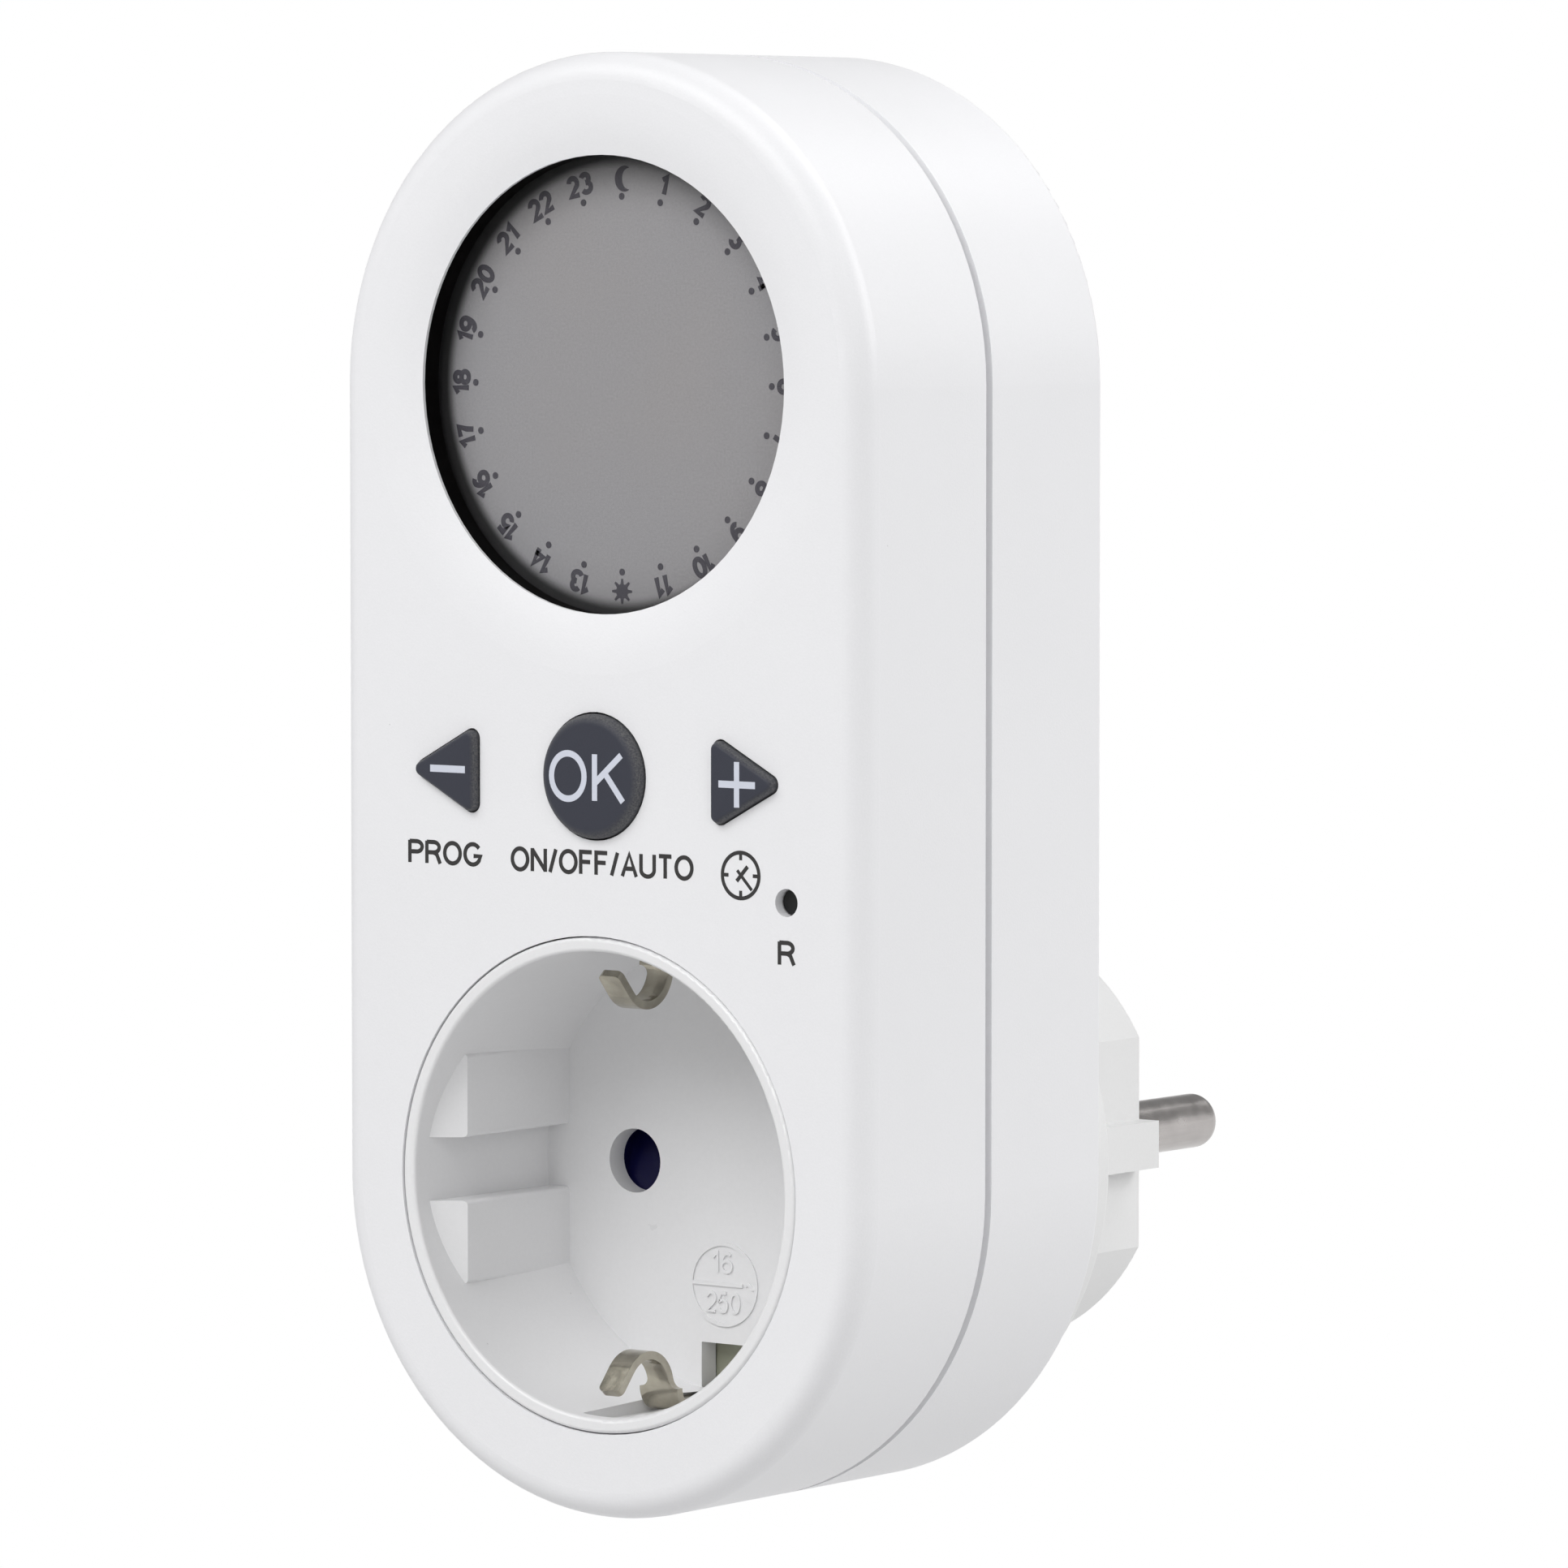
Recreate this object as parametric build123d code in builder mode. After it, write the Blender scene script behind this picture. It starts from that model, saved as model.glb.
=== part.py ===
"""Plug-in digital timer switch with an earthed 16 A plug and socket, as separate pieces.

Sizes are millimetres. The origin is the centre of the plug's engagement face. +Y points
into the wall socket, +X to the user's right and +Z up. A `reach` is a distance forward
from the plug's face towards the user, so what stands at reach 20 lies at y = -20.
"""
import os
from math import cos, radians, sin

from build123d import *

os.makedirs("parts", exist_ok=True)

# ---- Driving dimensions -------------------------------------------------------------

# Earthed plug and socket, standard sheet sizes
pin_radius = 2.4
pin_length = 19.0
pin_spacing = 19.0
pin_tip_radius = 1.2
pin_neck_radius = 1.9       # where a pin passes the plug's face
pin_neck_rise = 0.3
pin_recess_radius = 2.7     # shallow recess in the face round a pin's foot
pin_recess_depth = 0.3
pin_shank_radius = 2.8      # the part of a pin that is moulded into the plug's face
pin_collar = 0.8            # skin of plastic in front of that shank
rivet_radius = 1.2
rivet_head_radius = 2.0
plug_radius = 18.7
plug_flat = 16.3            # half the width across the two side flats
plug_length = 18.0
plug_edge_radius = 0.3
rib_width = 4.1
rib_outer = 18.6
rib_stop = 0.5              # the side ribs stop this far short of the engagement face
earth_groove_width = 6.0
earth_contact_radius = 17.8
earth_contact_start = 3.0
well_mouth_radius = 19.5
well_floor_radius = 19.0
well_depth = 17.5
well_ring_width = 1.2       # of the ring that shows round the well's mouth
well_wall = 1.1             # thinnest part of the well's wall, at its mouth
well_ring_edge = 0.35
well_flange_width = 2.7
well_flange_thickness = 1.6
floor_wall = 2.0
guide_gap = 5.4             # slot between two guide blocks, for a plug's rib
guide_outer = 9.8           # outer end of a guide block, measured from the pin line
guide_face = 16.6           # distance from the axis to a guide block's face
guide_lead_start = 1.6      # depth at which the block's lead-in leaves the wall
guide_lead_end = 3.6
guide_edge_radius = 0.4
pin_hole_radius = 2.75
aperture_width = 4.66
aperture_start = 15.0
channel_skin = 0.45         # wall left behind the channel that holds an earth strip
channel_depth_start = 1.2

# Case
case_radius = 27.5
window_z = 66.5             # centre of the window and of the top arc above the plug axis
bottom_drop = 0.5           # centre of the bottom arc below the plug axis
case_depth = 34.0
front_shell_depth = 17.2
seam_gap = 0.9
wall = 2.1
face_wall = 2.0
front_edge_radius = 2.3
inner_edge_radius = 1.2
rear_edge_radius = 0.6
tongue_wall = 0.9
tongue_height = 2.3
pad_step = 1.8              # from the case's outline in to the pad's
pad_thickness = 4.0
pad_edge_radius = 0.5
pad_floor = 2.0
neck_step = 1.2             # from the pad's outline in to the neck's
neck_wall = 2.5
neck_height = 4.0
hook_width = 6.0
hook_catch = 0.5
post_wall = 0.9
plug_face_wall = 5.0
plug_wall = 2.6
fit_gap = 0.1               # between still pieces that locate one another
slide_gap = 0.3             # between moving pieces and what they pass

# Window and display
window_radius = 19.0
window_dip = 0.8            # depth of the dish at the window's edge
window_lip = 0.3            # thickness of the cover over the bezel's collar
dish_radius = 24.0
lcd_depth = 3.8             # from the front face to the display's surface
bezel_radius = 21.0
bezel_collar_radius = 20.0
bezel_bore = 19.1
lcd_radius = 20.4
lcd_front_glass = 0.9
lcd_rear_glass = 0.9
lcd_rear_half = 17.4        # half height of the rear glass, which leaves contact ledges
window_pane = 0.8
pad_foam_radius = 15.0
board_to_lcd = 2.4
zebra_length = 13.4
zebra_width = 1.4

# Keys
key_z = 34.1
ok_radius = 5.2
ok_proud = 1.0
arrow_base = 12.4
arrow_tip = 19.65
arrow_half = 3.87
arrow_corner = 0.7
arrow_proud = 0.8
arrow_switch_x = 14.8
key_gap = 0.15
key_travel = 0.8
key_flange = 1.1
key_flange_thickness = 1.0
key_stem_length = 0.3
key_stem_radius = 1.8
key_edge_radius = 0.45
reset_x = 19.84
reset_z = 24.5
reset_hole_radius = 1.15
reset_tube_wall = 1.0
reset_tube_length = 1.0
reset_plunger_radius = 1.0
reset_plunger_length = 5.7
reset_depth = 0.9           # from the front face to the plunger's end

# Press switches
switch_width = 6.2
switch_height = 3.0
switch_floor = 0.6
plunger_radius = 1.65
plunger_gap = 0.1
reset_switch_width = 3.6
reset_switch_height = 3.0

# Boards
board_thickness = 1.6
board_gap = 1.0
control_bottom_z = 22.0
power_bottom_z = 27.0
standoff_share = 0.27       # share of the free depth behind the power board
standoff_radius = 2.4
notch_gap = 0.5
control_screw_rise = 8.1    # above the keys
control_screw_x = 7.0       # of the lower pair, above the socket
control_screw_z = 25.2
power_screw_rise = 3.0      # above the power board's lower edge
power_screw_inset = 13.5    # of the upper pair, from the case's side
power_screw_lift = 8.0      # above the window's centre

# Screws and bosses
case_boss_radius = 2.0
lower_boss_inset = 4.7      # from the case's side
lower_boss_z = 29.0
upper_boss_inset = 4.36     # from the top arc
upper_boss_angle = 50.0
pillar_radius = 3.3
pillar_reach = 36.0
counterbore_radius = 2.4
counterbore_depth = 7.5
case_hole_radius = 1.35
case_screw_radius = 1.1
case_screw_length = 16.0
case_head_radius = 2.1
case_head_height = 1.6
pilot_spare = 0.5           # past a screw's tip
small_screw_radius = 0.8
small_head_radius = 1.6
small_head_height = 1.1
small_boss_radius = 1.9
control_screw_length = 5.0
power_screw_length = 4.2
carrier_screw_length = 3.6
carrier_boss_x = 11.0
carrier_boss_z = 13.2
thread_gap = 0.03

# Metal strip
strip = 0.8
bar_width = 4.0
riser_width = 3.0
clip_strip = 0.7
clip_width = 2.2
earth_strip_width = 4.0
earth_leg_z = 19.6
clip_tip_depth = 1.9
clip_tip_z = 17.6
clip_slope = 229.2          # heading of the clip's front slope, in degrees
clip_slope_length = 2.43
clip_bend_radius = 3.05
clip_corner = 0.5           # rounding of the clip's tip
clip_flare = 0.8            # rounding where the clip widens to its strip
bend_radius = 1.0

# Socket contacts and shutter
contact_width = 5.5
contact_strip = 0.6
contact_half_gap = 2.75     # from the pin's axis to the middle of a contact arm
contact_pinch = 2.2
contact_flare = 3.2
contact_end_gap = 0.6       # from a contact's tips to the carrier's plate
contact_lift = 0.5          # above the chimney's foot
chimney_half = 4.5
chimney_wall = 0.9
chimney_gap = 1.7           # from the pad's floor to the chimneys
carrier_wall = 1.2
carrier_radius = 19.0
carrier_hole_radius = 3.2
shutter_half = 12.6
shutter_thickness = 2.6
shutter_travel = 6.0
shutter_rim = 1.0
shutter_below = 4.2         # from the pin line to the shutter's lower edge
shutter_hole_radius = 2.9
shutter_ramp_depth = 1.8
shutter_rail = 1.2
spring_length = 9.0
spring_radius = 1.3
spring_wire = 0.2
spring_pitch = 1.5

# Derived places
pin_x = pin_spacing / 2
pad_reach = plug_length
pad_inside = pad_reach + pad_floor
rear_reach = pad_reach + pad_thickness
front_reach = rear_reach + case_depth
front_rim = front_reach - front_shell_depth
rear_rim = front_rim - seam_gap
face_inside = front_reach - face_wall
rear_inside = rear_reach + wall
neck_reach = rear_reach + neck_height
case_inner = case_radius - wall
pad_radius = case_radius - pad_step
neck_radius = pad_radius - neck_step
well_tube_radius = well_mouth_radius + well_wall
well_ring_radius = well_mouth_radius + well_ring_width
well_flange_radius = well_ring_radius + well_flange_width
flange_back = face_inside - well_flange_thickness
channel_radius = well_tube_radius - channel_skin
floor_reach = front_reach - well_depth
floor_back = floor_reach - floor_wall
carrier_front = floor_back - shutter_thickness - 2 * slide_gap
carrier_back = carrier_front - carrier_wall
chimney_foot = pad_inside + chimney_gap
bezel_front = front_reach - window_dip - window_lip
lcd_reach = front_reach - lcd_depth
lcd_ledge = lcd_reach - lcd_front_glass
lcd_back = lcd_ledge - lcd_rear_glass
board_front = lcd_back - board_to_lcd
board_back = board_front - board_thickness
power_back = rear_inside + standoff_share * (carrier_back - rear_inside - board_thickness)
power_front = power_back + board_thickness
key_flange_front = face_inside - fit_gap
key_flange_back = key_flange_front - key_flange_thickness
plunger_top = key_flange_back - key_stem_length
plunger_foot = board_front + switch_floor + key_travel + 2 * plunger_gap
screw_seat = rear_reach + counterbore_depth
case_screw_tip = screw_seat + case_screw_length
upper_boss_arm = case_radius - upper_boss_inset
upper_boss_x = upper_boss_arm * cos(radians(upper_boss_angle))
upper_boss_z = window_z + upper_boss_arm * sin(radians(upper_boss_angle))
power_screw_x = case_radius - power_screw_inset
case_screw_places = [
    (side * x, z)
    for side in (-1, 1)
    for x, z in ((case_radius - lower_boss_inset, lower_boss_z), (upper_boss_x, upper_boss_z))
]
control_screw_places = [
    (side * x, z)
    for side in (-1, 1)
    for x, z in ((arrow_base, key_z + control_screw_rise), (control_screw_x, control_screw_z))
]
power_screw_places = [
    (0, power_bottom_z + power_screw_rise),
    (-power_screw_x, window_z + power_screw_lift),
    (power_screw_x, window_z + power_screw_lift),
]
carrier_screw_places = [(carrier_boss_x, carrier_boss_z), (-carrier_boss_x, -carrier_boss_z)]
pin_places = [(-pin_x, 0), (pin_x, 0)]


# ---- Shared planes and shapes -------------------------------------------------------

def facing(reach):
    """Plane that faces the user at this reach; a positive extrusion comes forward."""
    return Plane.XZ.offset(reach)


def side_plane(x):
    """Upright plane seen from the side at x: local x is reach and local y is Z."""
    return Plane(origin=(x, 0, 0), x_dir=(0, -1, 0), z_dir=(-1, 0, 0))


def plan_plane(z):
    """Level plane at z, seen from above: local x is X and local y is reach."""
    return Plane(origin=(0, 0, z), x_dir=(1, 0, 0), z_dir=(0, 0, -1))


def forward_axis(x=0.0, z=0.0):
    """Axis along Y through this point of the face."""
    return Axis((x, 0, z), (0, 1, 0))


def obround(radius):
    """The case's outline, two half circles joined by straight sides, at this radius."""
    with Locations((0, (window_z - bottom_drop) / 2)):
        SlotCenterToCenter(window_z + bottom_drop, 2 * radius, rotation=90)


def plug_outline(radius, flat):
    """Circle with two side flats."""
    Circle(radius)
    Rectangle(2 * flat, 2 * radius, mode=Mode.INTERSECT)


def arrow(side, growth=0.0):
    """Rounded arrowhead pointing outwards on this side, grown all round."""
    with BuildLine() as outline:
        Polyline(
            (side * arrow_base, key_z - arrow_half),
            (side * arrow_tip, key_z),
            (side * arrow_base, key_z + arrow_half),
            close=True,
        )
    make_face(outline.line)
    fillet(vertices(), arrow_corner)
    if growth:
        offset(amount=growth, kind=Kind.ARC)


def board_outline(bottom_z, notch_radius):
    """Board that fills the case above bottom_z, notched round the case screws."""
    obround(case_inner - board_gap)
    with Locations((0, bottom_z - case_radius)):
        Rectangle(2 * case_radius, 2 * case_radius, mode=Mode.SUBTRACT)
    with Locations(*case_screw_places):
        Circle(notch_radius, mode=Mode.SUBTRACT)


def bosses(places, radius, foot, top):
    """Round pillars from reach `foot` forward to reach `top`."""
    with BuildSketch(facing(foot)) as ends:
        with Locations(*places):
            Circle(radius)
    extrude(ends.sketch, amount=top - foot)


def bores(places, radius, foot, top):
    """Round holes from reach `foot` forward to reach `top`."""
    with BuildSketch(facing(foot)) as mouths:
        with Locations(*places):
            Circle(radius)
    extrude(mouths.sketch, amount=top - foot, mode=Mode.SUBTRACT)


def block(center, size, foot, top, mode=Mode.ADD):
    """Rectangular block or cut from reach `foot` forward to reach `top`."""
    with BuildSketch(facing(foot)) as section:
        with Locations(center):
            Rectangle(*size)
    extrude(section.sketch, amount=top - foot, mode=mode)


def screws(places, seat, way, head, shank, length):
    """Cross-slot screws with heads on the plane `seat`; way is +1 when driven forward."""
    head_radius, head_height = head
    bosses(places, head_radius, seat, seat - way * head_height)
    bosses(places, shank, seat, seat + way * length)
    with BuildSketch(facing(seat - way * head_height)) as crosses:
        with Locations(*places):
            Rectangle(1.5 * head_radius, head_radius / 4)
            Rectangle(head_radius / 4, 1.5 * head_radius)
    extrude(crosses.sketch, amount=way * head_height / 2, mode=Mode.SUBTRACT)


def bent_strip(plane, points, thickness, width):
    """Flat strip bent along these points of the plane, as wide across it as given."""
    with BuildSketch(plane) as section:
        with BuildLine() as run:
            FilletPolyline(*points, radius=bend_radius)
        trace(run.line, line_width=thickness)
    extrude(section.sketch, amount=width / 2, both=True)


def finish_piece(piece, label):
    """Name the finished piece and write its STEP file."""
    piece.part.label = label
    export_step(piece.part, f"parts/{label}.step")


# ---- Case ---------------------------------------------------------------------------

with BuildPart() as front_cover:
    with BuildSketch(facing(front_rim)):
        obround(case_radius)
    extrude(amount=front_shell_depth)
    fillet(faces().sort_by(Axis.Y)[0].edges(), front_edge_radius)
    with BuildSketch(facing(front_rim)):
        obround(case_inner)
    extrude(amount=front_shell_depth - face_wall, mode=Mode.SUBTRACT)
    fillet(faces(Select.LAST).sort_by(Axis.Y)[0].edges(), inner_edge_radius)
    # rebate for the rear cover's tongue
    with BuildSketch(facing(front_rim)):
        obround(case_inner + tongue_wall + fit_gap)
    extrude(amount=tongue_height - seam_gap + fit_gap, mode=Mode.SUBTRACT)
    # bosses for the case screws and for the control board
    bosses(case_screw_places, case_boss_radius, pillar_reach + fit_gap, face_inside)
    bosses(control_screw_places, small_boss_radius, board_front, face_inside)
    bores(
        case_screw_places,
        case_screw_radius + thread_gap,
        pillar_reach,
        case_screw_tip + pilot_spare,
    )
    bores(
        control_screw_places,
        small_screw_radius + thread_gap,
        board_front,
        board_back + control_screw_length + pilot_spare,
    )
    # shallow dish round the window, and the seat of the bezel's collar
    with BuildSketch(plan_plane(window_z)):
        with BuildLine():
            rim_point = (dish_radius, front_reach)
            foot_point = (window_radius, front_reach - window_dip)
            TangentArc(rim_point, foot_point, tangent=(-1, 0))
            Polyline(foot_point, (0, front_reach - window_dip), (0, front_reach), rim_point)
        make_face()
    revolve(axis=forward_axis(z=window_z), mode=Mode.SUBTRACT)
    bores([(0, window_z)], window_radius, face_inside, front_reach)
    bores([(0, window_z)], bezel_collar_radius + fit_gap, face_inside, bezel_front)
    # key holes, reset hole with its guide tube, and socket hole
    for side in (-1, 1):
        with BuildSketch(facing(face_inside)):
            arrow(side, key_gap)
        extrude(amount=face_wall, mode=Mode.SUBTRACT)
    bores([(0, key_z)], ok_radius + key_gap, face_inside, front_reach)
    reset_place = [(reset_x, reset_z)]
    reset_tube_foot = face_inside - reset_tube_length
    bosses(reset_place, reset_hole_radius + reset_tube_wall, reset_tube_foot, face_inside)
    bores(reset_place, reset_hole_radius, reset_tube_foot, front_reach)
    bores([(0, 0)], well_ring_radius + fit_gap, face_inside, front_reach)
    # snap posts that hold the socket insert's flange, each with a nose behind it
    post_inner = well_flange_radius + fit_gap
    with BuildSketch(facing(flange_back - fit_gap - post_wall)):
        with PolarLocations(post_inner + post_wall / 2, 4, start_angle=45):
            Rectangle(post_wall, hook_width)
    extrude(amount=well_flange_thickness + fit_gap + post_wall)
    with BuildSketch(facing(flange_back - fit_gap - post_wall)):
        with PolarLocations(post_inner, 4, start_angle=45):
            Rectangle(2 * hook_catch, hook_width)
    extrude(amount=post_wall)
finish_piece(front_cover, "front_cover")

with BuildPart() as rear_cover:
    with BuildSketch(facing(rear_reach)):
        obround(case_radius)
    extrude(amount=rear_rim - rear_reach)
    fillet(faces().sort_by(Axis.Y)[-1].edges(), rear_edge_radius)
    with BuildSketch(facing(rear_rim)):
        obround(case_inner + tongue_wall)
    extrude(amount=tongue_height)
    with BuildSketch(facing(rear_inside)):
        obround(case_inner)
    extrude(amount=rear_rim + tongue_height - rear_inside, mode=Mode.SUBTRACT)
    # pillars for the case screws, counterbored from behind
    bosses(case_screw_places, pillar_radius, rear_reach, pillar_reach)
    bores(case_screw_places, case_hole_radius, rear_reach, pillar_reach)
    bores(case_screw_places, counterbore_radius, rear_reach, screw_seat)
    # standoffs under the power board
    bosses(power_screw_places, standoff_radius, rear_inside, power_back)
    bores(
        power_screw_places,
        small_screw_radius + thread_gap,
        power_front - power_screw_length - thread_gap,
        power_back,
    )
    bores([(0, 0)], neck_radius + fit_gap, rear_reach, rear_inside)
finish_piece(rear_cover, "rear_cover")

with BuildPart() as plug_body:
    with BuildSketch(facing(0)):
        plug_outline(plug_radius, plug_flat)
    extrude(amount=plug_length)
    with BuildSketch(facing(rib_stop)):
        Rectangle(2 * rib_outer, rib_width)
    extrude(amount=plug_length - rib_stop)
    fillet(faces().sort_by(Axis.Y)[-1].edges(), plug_edge_radius)
    with BuildSketch(facing(pad_reach)):
        Circle(pad_radius)
    extrude(amount=pad_thickness)
    pad_edge = edges().filter_by(GeomType.CIRCLE).filter_by(lambda e: e.radius == pad_radius)
    fillet(pad_edge.sort_by(Axis.Y)[-1], pad_edge_radius)
    bosses([(0, 0)], neck_radius, rear_reach, neck_reach)
    # cavities of the plug and of the pad
    with BuildSketch(facing(plug_face_wall)):
        plug_outline(plug_radius - plug_wall, plug_flat - plug_wall)
    extrude(amount=pad_inside - plug_face_wall, mode=Mode.SUBTRACT)
    bores([(0, 0)], neck_radius - neck_wall, pad_inside, neck_reach)
    # hooks that snap behind the rear cover
    with BuildSketch(facing(rear_inside + fit_gap)):
        with PolarLocations(neck_radius, 4, start_angle=45):
            Rectangle(2 * hook_catch, hook_width)
    extrude(amount=neck_reach - rear_inside - fit_gap)
    # grooves and slots for the earth contacts, holes for the pins
    groove_floor = earth_contact_radius - clip_strip - thread_gap
    for side in (-1, 1):
        groove_center = (0, side * (groove_floor + plug_radius) / 2)
        block(groove_center, (earth_groove_width, plug_radius - groove_floor), 0, pad_reach,
              mode=Mode.SUBTRACT)
        slot_center = (0, side * (earth_contact_radius - clip_strip / 2))
        block(slot_center, (earth_strip_width + fit_gap, clip_strip + fit_gap), pad_reach,
              pad_inside, mode=Mode.SUBTRACT)
    bores(pin_places, pin_recess_radius, 0, pin_recess_depth)
    bores(pin_places, pin_neck_radius + thread_gap, pin_recess_depth, pin_collar)
    bores(pin_places, pin_shank_radius + thread_gap, pin_collar, plug_face_wall)
finish_piece(plug_body, "plug_body")

# ---- Pins and live metal ------------------------------------------------------------

for x, label in ((-pin_x, "plug_pin_left"), (pin_x, "plug_pin_right")):
    with BuildPart() as plug_pin:
        bosses([(x, 0)], pin_radius, -pin_length, -pin_neck_rise)
        fillet(edges().filter_by(GeomType.CIRCLE).sort_by(Axis.Y)[-1], pin_tip_radius)
        bosses([(x, 0)], pin_neck_radius, -pin_neck_rise, pin_collar)
        bosses([(x, 0)], pin_shank_radius, pin_collar, plug_face_wall)
        bosses([(x, 0)], rivet_radius, plug_face_wall, plug_face_wall + strip)
        bosses([(x, 0)], rivet_head_radius, plug_face_wall + strip, plug_face_wall + 2 * strip)
    finish_piece(plug_pin, label)

bar_level = plug_face_wall + strip / 2
leg_x = pin_x + pin_shank_radius + strip
jog_reach = pad_inside + strip
riser_leg_x = pin_x + chimney_half + strip + strip / 2
riser_x = riser_leg_x + strip
riser_level = (carrier_back + power_front) / 2
foot_z = power_bottom_z + bar_width / 2
contact_foot = chimney_foot + contact_lift
contact_length = carrier_back - contact_foot - contact_end_gap
contact_outer_x = pin_x + contact_width / 2 + contact_strip
tap_reach = contact_foot + strip


def mains_bar(side):
    """Strip from a pin's rivet, forward past its contact and up to the power board."""
    path = [
        (side * (pin_x - rivet_head_radius), bar_level),
        (side * leg_x, bar_level),
        (side * leg_x, jog_reach),
        (side * riser_leg_x, jog_reach),
        (side * riser_leg_x, riser_level),
    ]
    bent_strip(plan_plane(0), path, strip, bar_width)
    climb = [(riser_level, -bar_width / 2), (riser_level, foot_z), (power_front, foot_z)]
    bent_strip(side_plane(side * riser_x), climb, strip, riser_width)
    bores([(side * pin_x, 0)], rivet_radius + thread_gap, plug_face_wall,
          plug_face_wall + strip)


with BuildPart() as live_bar:
    mains_bar(-1)
finish_piece(live_bar, "live_bar")

with BuildPart() as neutral_bar:
    mains_bar(1)
    tap_length = riser_leg_x - contact_outer_x
    block((contact_outer_x + tap_length / 2, 0), (tap_length, bar_width), tap_reach,
          tap_reach + strip)
finish_piece(neutral_bar, "neutral_bar")

arm_root = contact_half_gap + contact_strip / 2
with BuildPart() as switched_bar:
    tap_z = chimney_half + 4 * strip
    path = [
        (tap_reach + strip / 2, arm_root),
        (tap_reach + strip / 2, tap_z),
        (riser_level, tap_z),
        (riser_level, foot_z),
        (power_front, foot_z),
    ]
    bent_strip(side_plane(-pin_x), path, strip, bar_width)
finish_piece(switched_bar, "switched_bar")

for side, label in ((-1, "socket_contact_left"), (1, "socket_contact_right")):
    with BuildPart() as socket_contact:
        for half in (-1, 1):
            path = [
                (contact_foot, half * contact_half_gap),
                (contact_foot + contact_length / 3, half * contact_half_gap),
                (contact_foot + contact_length * 0.8, half * contact_pinch),
                (contact_foot + contact_length, half * contact_flare),
            ]
            bent_strip(side_plane(side * pin_x), path, contact_strip, contact_width)
        block((side * (contact_outer_x - contact_strip / 2), 0), (contact_strip, 2 * arm_root),
              contact_foot, contact_foot + contact_length / 4)
    finish_piece(socket_contact, label)

# ---- Earth path ---------------------------------------------------------------------

for side, label in ((1, "earth_strip_top"), (-1, "earth_strip_bottom")):
    clip_plane = Plane(origin=(0, 0, 0), x_dir=(0, -1, 0), z_dir=(-side, 0, 0))
    with BuildPart() as earth_strip:
        # spring clip in the well: front slope, round nose, then a bend into the channel
        with BuildSketch(clip_plane):
            with BuildLine():
                slope = PolarLine(
                    (front_reach - clip_tip_depth, clip_tip_z), clip_slope_length, clip_slope
                )
                nose = JernArc(slope @ 1, slope % 1, clip_bend_radius, 90 - clip_slope)
                foot = JernArc(nose @ 1, nose % 1, earth_leg_z - (nose @ 1).Y, 90)
            trace(line_width=clip_strip)
        extrude(amount=clip_width / 2, both=True)
        fillet(faces().sort_by(Axis.Y)[0].edges().filter_by(Axis.Z, reverse=True)
               .filter_by(Axis.X, reverse=True), clip_corner)
        # the strip is wider from the clip's foot on, and flares out to it
        with BuildSketch(clip_plane):
            with BuildLine():
                JernArc(slope @ 1, slope % 1, clip_bend_radius, 90 - clip_slope)
                JernArc(nose @ 1, nose % 1, earth_leg_z - (nose @ 1).Y, 90)
            trace(line_width=clip_strip)
        extrude(amount=earth_strip_width / 2, both=True)
        leg_start = (foot @ 1).X
        trim_x = clip_width / 2 + earth_strip_width / 2
        trim_z = side * ((nose @ 1).Y - clip_bend_radius)
        with BuildSketch(facing(leg_start)):
            with Locations((-trim_x, trim_z), (trim_x, trim_z)):
                RectangleRounded(earth_strip_width, 2 * clip_bend_radius, clip_flare)
        extrude(amount=front_reach - leg_start, mode=Mode.SUBTRACT)
        leg = [
            (leg_start, earth_leg_z),
            (pad_inside + strip, earth_leg_z),
            (pad_inside + strip, earth_contact_radius - clip_strip / 2),
            (earth_contact_start, earth_contact_radius - clip_strip / 2),
        ]
        bent_strip(clip_plane, leg, clip_strip, earth_strip_width)
    finish_piece(earth_strip, label)

link_z = earth_leg_z - clip_strip / 2 - strip / 2
link_reach = neck_reach
with BuildPart() as earth_link:
    path = [
        (link_reach + bar_width, -link_z),
        (link_reach, -link_z),
        (link_reach, link_z),
        (link_reach + bar_width, link_z),
    ]
    bent_strip(side_plane(0), path, strip, earth_strip_width)
finish_piece(earth_link, "earth_link")

# ---- Socket insert, shutter and contact carrier -------------------------------------

shutter_top = shutter_travel + shutter_hole_radius + shutter_rim
ledge_z = -shutter_below - spring_length
rail_x = shutter_half + slide_gap + shutter_rail / 2

with BuildPart() as guide_pair:
    # two blocks on the right, with a slot between them and a sloped lead-in
    with BuildSketch(facing(floor_reach)):
        Circle(well_floor_radius + (well_tube_radius - well_floor_radius) / 2)
        with Locations((guide_face + well_mouth_radius / 2, 0)):
            Rectangle(well_mouth_radius, 2 * guide_outer, mode=Mode.INTERSECT)
        Rectangle(2 * well_tube_radius, guide_gap, mode=Mode.SUBTRACT)
    extrude(amount=well_depth - guide_lead_start)
    fillet(edges().filter_by(Axis.Y).group_by(Axis.X)[0], guide_edge_radius)
    with BuildSketch(plan_plane(0)):
        with BuildLine():
            Polyline(
                (guide_face - guide_edge_radius, front_reach - guide_lead_end - guide_edge_radius),
                (guide_face, front_reach - guide_lead_end),
                (well_mouth_radius, front_reach - guide_lead_start),
                (guide_face - guide_edge_radius, front_reach - guide_lead_start),
                close=True,
            )
        make_face()
    extrude(amount=2 * guide_outer, both=True, mode=Mode.SUBTRACT)

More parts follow.
